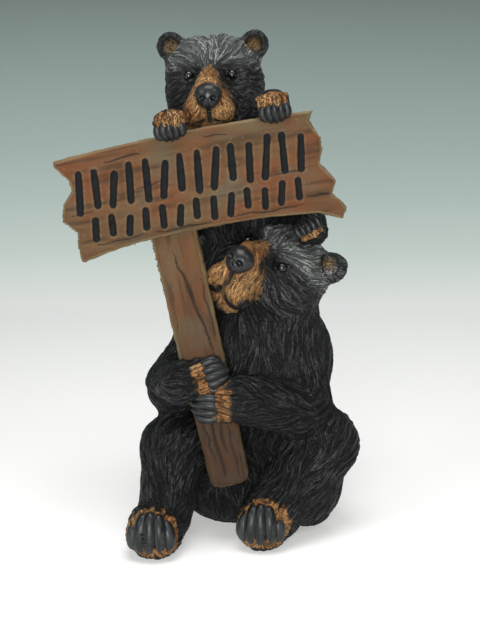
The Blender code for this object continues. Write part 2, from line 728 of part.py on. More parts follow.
def painted_resin():
    material = bpy.data.materials.new("painted_resin")
    material.use_nodes = True
    shader = material.node_tree.nodes["Principled BSDF"]
    shader.inputs["Base Color"].default_value = (0.022, 0.022, 0.021, 1.0)
    shader.inputs["Roughness"].default_value = 0.55
    shader.inputs["Metallic"].default_value = 0.0
    return material


def gather_shapes(cast):
    """One mesh of all the joined shapes, each still closed by itself."""
    mesh = bpy.data.meshes.new(NODE_NAME)
    everything = bmesh.new()
    for part in cast.parts:
        for shape, _, cutting in part.steps:
            if not cutting:
                single = bmesh.new()
                shape.add_mesh(single)
                single.to_mesh(mesh)
                single.free()
                everything.from_mesh(mesh)
    bmesh.ops.recalc_face_normals(everything, faces=everything.faces[:])
    everything.to_mesh(mesh)
    everything.free()
    return mesh


def build_figurine(collection):
    figures, sign = build_forms()
    cast = Cast(figures, sign)
    obj = bpy.data.objects.new(NODE_NAME, gather_shapes(cast))
    collection.objects.link(obj)
    remesh(obj, VOXEL)
    settle(obj.data, cast, 3)
    remesh(obj, VOXEL)
    settle(obj.data, cast, 2)
    raise_locks(obj.data, figures, sign)
    reduce_mesh(obj, TRIANGLE_LIMIT)
    flatten_underside(obj.data)
    write_points(obj.data, (read_points(obj.data) - vec(*FOOTPRINT_MIDDLE)) * UNIT)
    obj.data.materials.clear()
    obj.data.materials.append(painted_resin())
    return obj


for old in list(bpy.data.objects):
    bpy.data.objects.remove(old, do_unlink=True)
figurine_collection = bpy.data.collections.new(COLLECTION_NAME)
bpy.context.scene.collection.children.link(figurine_collection)
build_figurine(figurine_collection)
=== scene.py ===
"""Looks of the resin bear figurine: a seated bear with a signpost, and a cub over its board."""
import math

import bmesh
import bpy
import numpy as np
from mathutils import Matrix, Vector


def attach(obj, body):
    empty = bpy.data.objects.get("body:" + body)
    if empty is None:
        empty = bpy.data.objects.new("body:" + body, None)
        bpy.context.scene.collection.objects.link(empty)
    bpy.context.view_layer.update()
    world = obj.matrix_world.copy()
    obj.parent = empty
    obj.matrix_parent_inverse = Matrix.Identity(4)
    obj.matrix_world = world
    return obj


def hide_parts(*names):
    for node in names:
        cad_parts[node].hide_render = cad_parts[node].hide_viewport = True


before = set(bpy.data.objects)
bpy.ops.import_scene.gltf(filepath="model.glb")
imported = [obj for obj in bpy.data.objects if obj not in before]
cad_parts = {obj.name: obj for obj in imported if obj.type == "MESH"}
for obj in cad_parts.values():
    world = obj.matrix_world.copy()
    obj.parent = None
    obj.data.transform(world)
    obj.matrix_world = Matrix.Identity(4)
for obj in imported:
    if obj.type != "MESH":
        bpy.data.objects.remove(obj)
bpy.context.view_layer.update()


# The post: a flat stake with rounded edges, cast in one with the rest and painted as weathered
# wood. Long dark cracks run down it, its edges are rubbed pale and its foot is cut off blunt.
# Sizes here and below are figure units, a 45th of the figure's height, up to the last step.

UNIT = 0.01
FOOTPRINT_MIDDLE = np.array((0.56, 0.21, 0.0))
# A shape counts up to SLACK beyond its blend. Where none counts, the distance is FAR.
FAR, SLACK = 10.0, 0.6
LONGEST_STEP = 0.3
POST_LENGTH = 27.1
POST_WIDTH = 4.1
POST_THICKNESS = 2.2
POST_ROUNDING = 0.5
POST_TAPER = 0.16
POST_TILT = 12.7
POST_LEAN = 5.0
POST_SPACING = 0.12
GRAIN_WIDTH, GRAIN_LENGTH, GRAIN_DEPTH = 0.42, 3.2, 0.075
SWELL_DEPTH, CHIP_DEPTH = 0.2, 0.12
# Cracks stay this close behind the front face
CRACKED_FACE = 0.6
# The rounded foot: share of the half width, and height over the end
POST_FOOT = ((-1.0, 0.75), (-0.86, 0.22), (-0.45, 0.0), (0.5, 0.02), (0.88, 0.28), (1.0, 0.8))
# Each crack: across and up at both ends, half its width, its depth
POST_CRACKS = ((-0.35, -6.0, 1.25, -15.6, 0.10, 0.16), (1.45, -8.5, 1.6, -14.0, 0.08, 0.08),
               (-1.2, -20.6, -0.75, -24.6, 0.09, 0.12), (-0.45, -20.4, -0.3, -26.3, 0.10, 0.16),
               (0.35, -20.4, 0.25, -24.4, 0.09, 0.12), (0.95, -21.5, 0.9, -26.6, 0.09, 0.1),
               (-1.5, -9.5, -1.45, -13.0, 0.07, 0.06), (1.35, -24.0, 1.3, -26.9, 0.08, 0.08))


def vec(*values):
    return np.array(values, dtype=float)


def unit_vector(value):
    value = np.asarray(value, dtype=float)
    return value / np.linalg.norm(value)


def direction(vectors):
    return vectors / np.maximum(np.linalg.norm(vectors, axis=1), 1e-9)[:, None]


def lattice_noise(points, cell, seed):
    """Smooth random values between 0 and 1 on a lattice of the given cell size."""
    place = points / cell
    corner = np.floor(place).astype(np.int64)
    share = place - corner
    share = share * share * (3.0 - 2.0 * share)
    value = np.zeros(len(points))
    for index in range(8):
        step = np.array([index & 1, index >> 1 & 1, index >> 2 & 1])
        key = (corner + step) @ np.array([73856093, 19349663, 83492791]) + seed * 2654435761
        key = (key ^ key >> 13) * 1274126177 & 0x7FFFFFFF
        key = (key ^ key >> 15) & 0xFFFF
        value += np.where(step == 1, share, 1.0 - share).prod(axis=1) * key / 65535.0
    return value


def smooth_union(gap, slope, other_gap, other_slope, blend):
    """Join two distance fields, with a fillet about as wide as blend where they cross."""
    overlap = np.maximum(blend - np.abs(gap - other_gap), 0.0) / blend
    share = np.where(gap < other_gap, overlap / 2.0, 1.0 - overlap / 2.0)[:, None]
    joined = np.minimum(gap, other_gap) - overlap * overlap * blend * 0.25
    return joined, slope * (1.0 - share) + other_slope * share


class Plank:
    """A flat outline in a tilted plane, with thickness and rounded edges."""

    def __init__(self, outline, origin, across, up, thickness, rounding):
        self.outline = np.asarray(outline, dtype=float)
        self.origin = np.asarray(origin, dtype=float)
        self.across = unit_vector(across)
        self.up = unit_vector(up)
        self.back = np.cross(self.up, self.across)
        self.thickness = thickness
        self.rounding = rounding
        middle = (self.outline.min(axis=0) + self.outline.max(axis=0)) / 2.0
        self.centre = self.point(middle[0], middle[1], thickness / 2.0)
        self.bound = np.linalg.norm(self.outline - middle, axis=1).max() + thickness

    def point(self, across, up, deep=0.0):
        """A point of the plank, with deep counted from its front face."""
        return self.origin + across * self.across + up * self.up + deep * self.back

    def places(self, points):
        """Across, up and depth of each point on the plank."""
        return (points - self.origin) @ np.stack((self.across, self.up, self.back), axis=1)

    def edge(self, places):
        """Distance outside the outline, below zero inside, and the way out of it."""
        flat = places[:, :2]
        nearest = np.full(len(places), np.inf)
        away = np.zeros((len(places), 2))
        inside = np.zeros(len(places), dtype=bool)
        for start, end in zip(self.outline, np.roll(self.outline, -1, axis=0)):
            side = end - start
            reach = flat - start
            share = np.clip(reach @ side / (side @ side), 0.0, 1.0)
            gap = reach - share[:, None] * side
            square = (gap * gap).sum(axis=1)
            closer = square < nearest
            nearest = np.where(closer, square, nearest)
            away[closer] = gap[closer]
            above = (start[1] > flat[:, 1]) != (end[1] > flat[:, 1])
            rise = end[1] - start[1] if end[1] != start[1] else 1e-9
            inside ^= above & (flat[:, 0] < start[0] + (flat[:, 1] - start[1]) * side[0] / rise)
        sign = np.where(inside, -1.0, 1.0)
        return np.sqrt(nearest) * sign, direction(away) * sign[:, None]

    def measure(self, points):
        """Distance to the surface, below zero inside, and the direction out of it."""
        places = self.places(points)
        edge, around = self.edge(places)
        edge = edge + self.rounding
        middle = places[:, 2] - self.thickness / 2.0
        depth = np.abs(middle) - self.thickness / 2.0 + self.rounding
        outer = np.hypot(np.maximum(edge, 0.0), np.maximum(depth, 0.0))
        gap = outer + np.minimum(np.maximum(edge, depth), 0.0) - self.rounding
        corner = np.maximum(outer, 1e-9)
        edge_share = np.where(outer > 0.0, np.maximum(edge, 0.0) / corner, edge > depth)
        depth_share = np.where(outer > 0.0, np.maximum(depth, 0.0) / corner, edge <= depth)
        slope = np.outer(edge_share * around[:, 0], self.across)
        slope += np.outer(edge_share * around[:, 1], self.up)
        slope += np.outer(depth_share * np.sign(middle), self.back)
        return gap, slope

    def add_mesh(self, bm):
        corners = [bm.verts.new(self.point(across, up)) for across, up in self.outline]
        grown = bmesh.ops.extrude_face_region(bm, geom=[bm.faces.new(corners)])
        moved = [item for item in grown["geom"] if isinstance(item, bmesh.types.BMVert)]
        bmesh.ops.translate(bm, verts=moved, vec=Vector(self.back * self.thickness))


def points_near(points, shape, reach):
    """Which points a shape's own round bound reaches."""
    gap = points - shape.centre
    return np.nonzero((gap * gap).sum(axis=1) < (shape.bound + reach) ** 2)[0]


class Form:
    """Shapes joined one after another, each with its own blend, and shallow cuts in them."""

    def __init__(self):
        self.steps = []
        self.furs = []
        self.paints = []

    def add(self, shape, blend, flow=None, source=None):
        """Join a shape. Its fur runs along flow, or away from the point source."""
        self.steps.append((shape, blend, False))
        self.furs.append((shape, flow, source))
        return shape

    def cut(self, shape, blend):
        self.steps.append((shape, blend, True))
        return shape

    def measure(self, points):
        """Distance and outward slope of the joined shapes, for points close to them."""
        gap = np.full(len(points), FAR)
        slope = np.zeros((len(points), 3))
        slope[:, 2] = 1.0
        for shape, blend, cutting in self.steps:
            near = points_near(points, shape, blend + SLACK)
            if len(near) == 0:
                continue
            other = shape.measure(points[near])
            if cutting:
                joined, joined_slope = smooth_union(-gap[near], -slope[near], *other, blend)
                gap[near], slope[near] = -joined, -joined_slope
            else:
                gap[near], slope[near] = smooth_union(gap[near], slope[near], *other, blend)
        return gap, slope

    def gather(self):
        """One mesh of all the joined shapes, each still closed by itself."""
        mesh = bpy.data.meshes.new("shapes")
        everything = bmesh.new()
        for shape, _, cutting in self.steps:
            if not cutting:
                single = bmesh.new()
                shape.add_mesh(single)
                single.to_mesh(mesh)
                single.free()
                everything.from_mesh(mesh)
        bmesh.ops.recalc_face_normals(everything, faces=everything.faces[:])
        everything.to_mesh(mesh)
        everything.free()
        return mesh


def remesh(obj, spacing):
    """Rebuild the object's skin as one closed net of even squares."""
    modifier = obj.modifiers.new("Net", "REMESH")
    modifier.mode = "VOXEL"
    modifier.voxel_size = spacing
    modifier.adaptivity = 0.0
    graph = bpy.context.evaluated_depsgraph_get()
    mesh = bpy.data.meshes.new_from_object(obj.evaluated_get(graph))
    obj.modifiers.clear()
    old, obj.data = obj.data, mesh
    bpy.data.meshes.remove(old)


def read_points(mesh):
    flat = np.empty(len(mesh.vertices) * 3)
    mesh.vertices.foreach_get("co", flat)
    return flat.reshape(-1, 3)


def write_points(mesh, points):
    mesh.vertices.foreach_set("co", np.ascontiguousarray(points, dtype=np.float32).ravel())
    mesh.update()


def settle(mesh, form, rounds):
    """Move every point of the net onto the form's smooth surface."""
    points = read_points(mesh)
    for _ in range(rounds):
        gap, slope = form.measure(points)
        steep = np.maximum((slope * slope).sum(axis=1), 0.2)
        points -= np.clip(gap / steep, -LONGEST_STEP, LONGEST_STEP)[:, None] * slope
    write_points(mesh, points)
    return points


def new_piece(name, mesh):
    """An object for a mesh, at the origin, unturned and unscaled."""
    piece = bpy.data.objects.new(name, mesh)
    bpy.context.scene.collection.objects.link(piece)
    return piece


def finished(piece, material):
    """Bring a piece to its place in metres, and hang it from the root as part of the cast."""
    mesh = piece.data
    write_points(mesh, (read_points(mesh) - FOOTPRINT_MIDDLE) * UNIT)
    mesh.polygons.foreach_set("use_smooth", np.ones(len(mesh.polygons), dtype=bool))
    mesh.materials.clear()
    mesh.materials.append(material)
    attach(piece, "root")
    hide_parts("bear_figurine")


def keep_values(mesh, **values):
    """Store a number or a direction a point, which the materials read by name."""
    for name, numbers in values.items():
        single = numbers.ndim == 1
        layer = mesh.attributes.new(name, "FLOAT" if single else "FLOAT_VECTOR", "POINT")
        flat = np.ascontiguousarray(numbers, dtype=np.float32).ravel()
        layer.data.foreach_set("value" if single else "vector", flat)


def crack_depth(places, cracks):
    """How deep the wood is split at each place: every crack wanders and ends in a point."""
    depth = np.zeros(len(places))
    for start_across, start_up, end_across, end_up, half_width, deepest in cracks:
        start = vec(start_across, start_up)
        run = vec(end_across, end_up) - start
        share = (places[:, :2] - start) @ run / (run @ run)
        side = (places[:, :2] - start) @ vec(-run[1], run[0]) / np.linalg.norm(run)
        wander = lattice_noise(places * vec(1.0, 1.0, 0.0) + 7.0 * deepest, 0.9, 3) - 0.5
        width = half_width * np.sqrt(np.clip(4.0 * share * (1.0 - share), 0.0, 1.0))
        split = np.exp(-(np.minimum(np.abs((side + 0.3 * wander) / np.maximum(width, 1e-3)), 5.0)) ** 2)
        depth = np.maximum(depth, deepest * split * (width > 0.0))
    return np.where(places[:, 2] < CRACKED_FACE, depth, 0.0)


def carve_wood(piece, plank, form, grain_axis, cracks):
    """Cut grain, worn edges and cracks into a plank, and keep where each of them is."""
    points = settle(piece.data, form, 3)
    slope = direction(form.measure(points)[1])
    places = plank.places(points)
    stretch = vec(GRAIN_WIDTH, GRAIN_WIDTH, GRAIN_WIDTH)
    stretch[grain_axis] = GRAIN_LENGTH
    grain = lattice_noise(places, stretch, 21) + 0.6 * lattice_noise(places, stretch * 0.5, 22)
    swell = lattice_noise(places, stretch * 2.2, 23) - 0.5
    chips = lattice_noise(points, 0.55, 24) - 0.5
    edge = np.clip(1.0 + plank.edge(places)[0] / 0.45, 0.0, 1.0)
    split = crack_depth(places, cracks)
    rise = GRAIN_DEPTH * (grain - 0.8) + SWELL_DEPTH * swell + CHIP_DEPTH * chips * edge - split
    moved = points + rise[:, None] * slope
    write_points(piece.data, moved)
    keep_values(piece.data, grain=grain / 1.6, crack=np.clip(split / 0.06, 0.0, 1.0), edge=edge)
    return points


def tilted(degrees):
    """Two unit directions in the upright plane: across and up, turned by an angle."""
    angle = math.radians(degrees)
    return vec(math.cos(angle), 0.0, math.sin(angle)), vec(-math.sin(angle), 0.0, math.cos(angle))


class Shade:
    """A socket of a material's nodes. Sums and products with it add Math nodes."""

    def __init__(self, tree, socket=None):
        self.tree = tree
        self.socket = socket

    def node(self, kind, settings, values, output=0):
        """Any node: its settings are set first, then its sockets' values or links."""
        made = self.tree.nodes.new("ShaderNode" + kind)
        for name, setting in settings.items():
            if name == "stops":
                ramp = made.color_ramp.elements
                while len(ramp) < len(setting):
                    ramp.new(1.0)
                for stop, (place, colour) in zip(ramp, setting):
                    stop.position = place
                    stop.color = (*colour, 1.0)
            else:
                setattr(made, name, setting)
        for name, value in values.items():
            if isinstance(value, Shade):
                self.tree.links.new(value.socket, made.inputs[name])
            else:
                made.inputs[name].default_value = value
        return Shade(self.tree, made.outputs[output])

    def math(self, operation, first, second):
        return self.node("Math", {"operation": operation}, {0: first, 1: second})

    def __add__(self, other):
        return self.math("ADD", self, other)

    __radd__ = __add__

    def __sub__(self, other):
        return self.math("SUBTRACT", self, other)

    def __rsub__(self, other):
        return self.math("SUBTRACT", other, self)

    def __mul__(self, other):
        return self.math("MULTIPLY", self, other)

    __rmul__ = __mul__

    def between(self, low, high):
        """0 below low, 1 above high, and smooth from one to the other."""
        return self.node("MapRange", {"interpolation_type": "SMOOTHSTEP"},
                         {"Value": self, "From Min": low, "From Max": high})

    def value(self, name):
        """A number that is kept on the piece's points."""
        return self.node("Attribute", {"attribute_name": name}, {}, output=2)

    def place(self, stretch=(1.0, 1.0, 1.0)):
        """The piece's own coordinates, in metres, stretched along its axes."""
        found = self.node("TexCoord", {}, {}, output=3)
        return self.node("VectorMath", {"operation": "MULTIPLY"}, {0: found, 1: stretch})

    def noise(self, scale, detail=3.0, stretch=(1.0, 1.0, 1.0)):
        return self.node("TexNoise", {}, {"Vector": self.place(stretch), "Scale": scale,
                                          "Detail": detail})

    def strands(self, width, length, steps):
        """Fine lines along the direction that the piece keeps as flow, both sizes in metres."""
        flow = self.node("Attribute", {"attribute_name": "flow"}, {}, output=1)
        place = self.place()
        total = 0.0
        for step in range(steps):
            shift = (step / (steps - 1) - 0.5) * length
            moved = self.node("VectorMath", {"operation": "MULTIPLY_ADD"},
                              {0: flow, 1: (shift, shift, shift), 2: place})
            total = total + self.node("TexNoise", {}, {"Vector": moved, "Scale": 1.0 / width,
                                                       "Detail": 0.0})
        return total * (1.0 / steps)

    def mix(self, first, second, share):
        """One colour passing into another."""
        colours = {name: value if isinstance(value, Shade) else (*value, 1.0)
                   for name, value in ((6, first), (7, second))}
        return self.node("Mix", {"data_type": "RGBA"}, {0: share, **colours}, output=2)


def new_material(name):
    """A material, its shader, and the start of its expressions."""
    material = bpy.data.materials.new(name)
    material.use_nodes = True
    shader = material.node_tree.nodes["Principled BSDF"]
    return material, shader, Shade(material.node_tree)


def connect(shade, shader, colour, roughness, height, depth):
    """Give a shader its colour, its roughness, and its fine relief of a depth in metres."""
    bump = shade.node("Bump", {}, {"Height": height, "Distance": depth, "Strength": 1.0})
    shade.tree.links.new(colour.socket, shader.inputs["Base Color"])
    shade.tree.links.new(roughness.socket, shader.inputs["Roughness"])
    shade.tree.links.new(bump.socket, shader.inputs["Normal"])


def painted_wood(name, stretch):
    """Brown paint washed over the grain: reddish in the middle, tan on the edges, dark cracks."""
    material, shader, shade = new_material(name)
    streak = shade.noise(95.0, 5.0, stretch)
    patch = shade.noise(17.0, 3.0)
    cloud = shade.noise(31.0, 4.0)
    fleck = shade.noise(420.0, 2.0)
    grain = shade.value("grain")
    edge = shade.value("edge")
    colour = shade.mix((0.076, 0.036, 0.013), (0.098, 0.055, 0.022), streak.between(0.32, 0.68))
    colour = shade.mix(colour, (0.112, 0.033, 0.010), patch.between(0.40, 0.64) * 0.75)
    colour = shade.mix(colour, (0.078, 0.070, 0.042), cloud.between(0.46, 0.74) * 0.8)
    colour = shade.mix(colour, (0.027, 0.014, 0.005), (1.0 - grain.between(0.18, 0.48)) * 0.6)
    rubbed = edge.between(0.35, 0.95) * (0.1 + 0.75 * cloud)
    colour = shade.mix(colour, (0.250, 0.200, 0.105), rubbed)
    colour = shade.mix(colour, (0.199, 0.158, 0.078), fleck.between(0.66, 0.74) * 0.35)
    colour = shade.mix(colour, (0.200, 0.145, 0.070), shade.value("lip") * fleck.between(0.35, 0.65) * 0.3)
    # The post darkens towards its foot: partly darker paint at the foot, partly painted shade where it
    # hangs in the bear's lap.
    height = shade.node("SeparateXYZ", {}, {"Vector": shade.place()}, output=2)
    colour = shade.mix(colour, (0.022, 0.013, 0.007), (1.0 - height.between(0.05, 0.29)) * 0.75)
    colour = shade.mix(colour, (0.014, 0.010, 0.008), shade.value("crack").between(0.2, 0.95) * 0.9)
    colour = shade.mix(colour, (0.004, 0.005, 0.0055), shade.value("carved").between(0.3, 0.7))
    roughness = 0.5 + 0.25 * fleck + 0.12 * shade.value("carved")
    connect(shade, shader, colour, roughness, streak + 0.4 * fleck, 0.0006)
    shader.inputs["Specular IOR Level"].default_value = 0.16
    return material


BOARD_ORIGIN = vec(-0.6, -5.9, 31.9)
BOARD_TILT = 11.0
BOARD_THICKNESS = 1.5
POST_TOP_ON_BOARD = (-3.1, 0.9)
POST_SET_BACK = 0.75

board_across, board_up = tilted(BOARD_TILT)
post_across, post_up = tilted(POST_TILT)
post_up = np.asarray(Matrix.Rotation(math.radians(-POST_LEAN), 3, Vector(post_across)) @ Vector(post_up))
post_top = BOARD_ORIGIN + POST_TOP_ON_BOARD[0] * board_across + POST_TOP_ON_BOARD[1] * board_up
post_top = post_top + BOARD_THICKNESS * POST_SET_BACK * np.cross(board_up, board_across)
post_half = POST_WIDTH / 2.0
foot_half = post_half * (1.0 - POST_TAPER)
post_outline = [(-post_half, 0.0)]
for across, rise in POST_FOOT:
    post_outline.append((across * foot_half, rise - POST_LENGTH))
post_outline.append((post_half, 0.0))
post = Plank(post_outline, post_top, post_across, post_up, POST_THICKNESS, POST_ROUNDING)
post_form = Form()
post_form.add(post, 0.1)
post_piece = new_piece("signpost", post_form.gather())
remesh(post_piece, POST_SPACING)
post_points = carve_wood(post_piece, post, post_form, 1, POST_CRACKS)
keep_values(post_piece.data, carved=np.zeros(len(post_points)), lip=np.zeros(len(post_points)))
finished(post_piece, painted_wood("post_paint", (1.0, 1.0, 0.12)))


# The board: a plank torn off ragged at both ends, with its long edges sagging, set on the post's
# front. Two rows of plain slanting gouges are cut into its face and painted black, and thin
# cracks run along the grain. The paint is the post's, with its grain lying across.

BOARD_LENGTH = 23.8
BOARD_HEIGHT = 9.2
BOARD_ROUNDING = 0.4
BOARD_TOP_SAG = 0.055
BOARD_FOOT_SAG = 0.10
BOARD_SPACING = 0.1
EDGE_STEPS = 12
RIGHT_TEAR = ((-0.06, 0.02), (0.03, 0.0), (0.12, 0.018), (0.19, 0.045), (0.30, 0.022),
              (0.48, 0.068), (0.60, 0.048), (0.70, 0.046), (0.88, 0.08), (0.95, 0.057))
LEFT_TEAR = ((0.0, 0.04), (0.15, 0.035), (0.27, 0.045), (0.40, 0.0), (0.55, 0.015),
             (0.65, 0.055), (0.75, 0.055), (0.90, 0.012))
BOARD_CRACKS = ((-7.5, 3.3, -4.2, 3.55, 0.075, 0.08), (-5.2, 0.7, -2.4, 0.9, 0.06, 0.07),
                (1.0, 3.75, 3.4, 3.6, 0.07, 0.06), (-9.6, -3.3, -5.2, -3.2, 0.08, 0.08),
                (-4.4, -3.25, 0.6, -3.3, 0.085, 0.09), (2.0, -3.2, 8.4, -3.35, 0.08, 0.08),
                (5.6, -0.55, 9.6, -0.35, 0.07, 0.07), (-11.0, -0.6, -8.9, -0.45, 0.06, 0.07),
                (8.6, -2.6, 11.4, -2.9, 0.085, 0.1), (-0.9, -0.45, 1.6, -0.35, 0.06, 0.05))
STROKE_WIDTH = 0.55
STROKE_DEPTH = 0.25
STROKE_PITCH = 1.45
STROKE_COUNT = 14
STROKE_SHIFT = -0.5
STROKE_LEAN = 9.0
STROKE_SWAY = 5.0
STROKE_WANDER, STROKE_VARIETY = 0.18, 0.05
LONG_STROKE, LONG_ROW = 3.1, 1.15
SHORT_STROKE, SHORT_ROW = 1.5, -2.05


def board_top(across):
    """Height of the board's top edge above its middle line."""
    return (0.5 - BOARD_TOP_SAG * (across / (BOARD_LENGTH / 2.0)) ** 2) * BOARD_HEIGHT


def board_outline():
    """Torn ends joined by a long edge above and one below, both sagging at their ends."""
    half = BOARD_LENGTH / 2.0
    reach_right = half - RIGHT_TEAR[-1][1] * BOARD_LENGTH
    reach_left = LEFT_TEAR[-1][1] * BOARD_LENGTH - half
    points = [(half - lost * BOARD_LENGTH, (share - 0.5) * BOARD_HEIGHT) for share, lost in RIGHT_TEAR]
    for step in range(EDGE_STEPS + 1):
        across = reach_right + (reach_left - reach_right) * step / EDGE_STEPS
        points.append((across, board_top(across)))
    for share, lost in reversed(LEFT_TEAR):
        points.append((lost * BOARD_LENGTH - half, (share - 0.5) * BOARD_HEIGHT))
    start = LEFT_TEAR[0][1] * BOARD_LENGTH - half
    end = half - RIGHT_TEAR[0][1] * BOARD_LENGTH
    for step in range(1, EDGE_STEPS):
        across = start + (end - start) * step / EDGE_STEPS
        sag = 1.0 - (across / half) ** 2
        points.append((across, (BOARD_FOOT_SAG * sag - 0.5) * BOARD_HEIGHT))
    return points


class Limb:
    """A round bar whose radius runs from one end's value to the other's."""

    def __init__(self, start, end, start_radius, end_radius):
        self.start = np.asarray(start, dtype=float)
        self.end = np.asarray(end, dtype=float)
        self.radii = (start_radius, end_radius)
        self.centre = (self.start + self.end) / 2.0
        self.bound = np.linalg.norm(self.end - self.start) / 2.0 + max(self.radii)

    def measure(self, points):
        axis = self.end - self.start
        offset = points - self.start
        share = np.clip(offset @ axis / (axis @ axis), 0.0, 1.0)
        radius = self.radii[0] + share * (self.radii[1] - self.radii[0])
        away = offset - share[:, None] * axis
        return np.linalg.norm(away, axis=1) - radius, direction(away)

    def add_mesh(self, bm):
        vertices = []
        for place, radius in zip((self.start, self.end), self.radii):
            made = bmesh.ops.create_uvsphere(bm, u_segments=16, v_segments=10, radius=radius,
                                             matrix=Matrix.Translation(Vector(place)))
            vertices += made["verts"]
        faces = list({face for vertex in vertices for face in vertex.link_faces})
        bmesh.ops.delete(bm, geom=faces, context="FACES_ONLY")
        hull = bmesh.ops.convex_hull(bm, input=vertices)
        bmesh.ops.delete(bm, geom=hull["geom_interior"] + hull["geom_unused"], context="VERTS")


def nearest(points, shapes, reach=1.0):
    """Distance to the nearest of some shapes, no more than reach."""
    gap = np.full(len(points), reach)
    for shape in shapes:
        near = points_near(points, shape, reach)
        gap[near] = np.minimum(gap[near], shape.measure(points[near])[0])
    return gap


board = Plank(board_outline(), BOARD_ORIGIN, board_across, board_up, BOARD_THICKNESS, BOARD_ROUNDING)
board_form = Form()
board_form.add(board, 0.1)
strokes = []
stroke_radius = STROKE_WIDTH / 2.0
for level, length, count in ((LONG_ROW, LONG_STROKE, STROKE_COUNT),
                             (SHORT_ROW, SHORT_STROKE, STROKE_COUNT - 1)):
    for index in range(count):
        across = (index - (count - 1) / 2.0) * STROKE_PITCH + STROKE_SHIFT
        middle = level + STROKE_WANDER * math.sin(2.3 * index)
        half = length * (0.46 + STROKE_VARIETY * math.cos(1.7 * index))
        stroke_lean = math.tan(math.radians(STROKE_LEAN + STROKE_SWAY * math.sin(4.1 * index)))
        lift = stroke_radius - STROKE_DEPTH
        stroke = Limb(board.point(across + stroke_lean * half, middle + half, -lift),
                      board.point(across - stroke_lean * half, middle - half, -lift),
                      stroke_radius * 0.85, stroke_radius)
        strokes.append(board_form.cut(stroke, 0.1))
board_piece = new_piece("sign_board", board_form.gather())
remesh(board_piece, BOARD_SPACING)
board_points = carve_wood(board_piece, board, board_form, 0, BOARD_CRACKS)
stroke_gap = nearest(board_points, strokes)
keep_values(board_piece.data, carved=1.0 - np.clip(stroke_gap / 0.09, 0.0, 1.0),
            lip=np.exp(-((stroke_gap - 0.13) / 0.08) ** 2))
finished(board_piece, painted_wood("board_paint", (0.12, 1.0, 1.0)))


# The large bear: cast resin that sits on its seat and both feet and grips the post. Locks are
# carved all over it, painted black and brushed paler on the ridges, with tan on the muzzle, in the
# ears and round the claws. Its hips, chest and head are pieces that meet on flat cuts in the fur.

BODY_SPACING = 0.12
HEAD_SPACING = 0.079
ROUGH_SPACING = 0.2
SPARE = 0.5
HIP_CUT = 10.2
NECK_POINT, NECK_WAY = vec(5.6, 0.9, 20.4), unit_vector((0.1, -0.5, 1.0))
LOCK_WIDTH, LOCK_LENGTH, LOCK_HEIGHT = 1.3, 4.5, 0.16
HAIR_WIDTH, HAIR_LENGTH, HAIR_DEPTH = 0.18, 1.2, 0.14
SHORT_WIDTH, SHORT_LENGTH, SHORT_DEPTH = 0.14, 0.5, 0.06
FLOW_REACH = 1.2


class Ball:
    """An ellipsoid with its own axes as the columns of turn."""

    def __init__(self, centre, radii, turn=None):
        self.centre = np.asarray(centre, dtype=float)
        self.radii = np.asarray(radii, dtype=float)
        self.turn = np.eye(3) if turn is None else np.asarray(turn, dtype=float)
        self.bound = self.radii.max()

    def measure(self, points):
        local = (points - self.centre) @ self.turn
        near = np.linalg.norm(local / self.radii, axis=1)
        outward = local / self.radii ** 2
        steep = np.maximum(np.linalg.norm(outward, axis=1), 1e-9)
        return near * (near - 1.0) / steep, outward / steep[:, None] @ self.turn.T

    def add_mesh(self, bm):
        place = Matrix.Translation(Vector(self.centre)) @ Matrix(self.turn).to_4x4()
        place = place @ Matrix.Diagonal(Vector((*self.radii, 1.0)))
        bmesh.ops.create_uvsphere(bm, u_segments=16, v_segments=10, radius=1.0, matrix=place)


class Pose:
    """A place, a turn and a size that carry a template's points into the figure."""

    def __init__(self, place, turn, size=1.0):
        self.place = np.asarray(place, dtype=float)
        self.turn = np.asarray(turn, dtype=float)
        self.size = size

    def point(self, *local):
        """Where a template's point lands in the figure."""
        return self.place + self.size * self.turn @ vec(*local)

    def local(self, points):
        return (points - self.place) @ self.turn / self.size


def head_turn(yaw, pitch, roll):
    """Turn of a head: roll about its own nose line, then pitch, then yaw, in degrees."""
    turn = Matrix.Rotation(math.radians(yaw), 3, "Z")
    turn = turn @ Matrix.Rotation(math.radians(pitch), 3, "X")
    return turn @ Matrix.Rotation(math.radians(roll), 3, "Y")


NOSE = (0.0, -6.15, -1.35)
EYE = (1.85, -3.12, 0.42)
EAR = (3.7, 0.45, 3.1)
EYE_RADIUS = 0.42
NOSE_RADII = (1.13, 0.83, 0.85)
NOSE_TIP_RADII = (0.78, 0.72, 0.72)
# Both ends of the upper and of the lower lid, from the eye's middle, and their radius
LIDS = ((((-0.46, -0.12, 0.26), (0.44, 0.1, 0.36)), 0.13),
        (((-0.38, -0.2, -0.36), (0.46, -0.02, -0.3)), 0.11))
# Half width of the tan muzzle at each height of the head's own frame
MUZZLE_HEIGHTS = (-5.0, -4.2, -3.1, -1.93, -0.78, 0.0, 0.64, 1.0, 1.25)
MUZZLE_HALVES = (0.7, 1.5, 2.05, 1.95, 1.35, 0.95, 0.65, 0.3, 0.0)


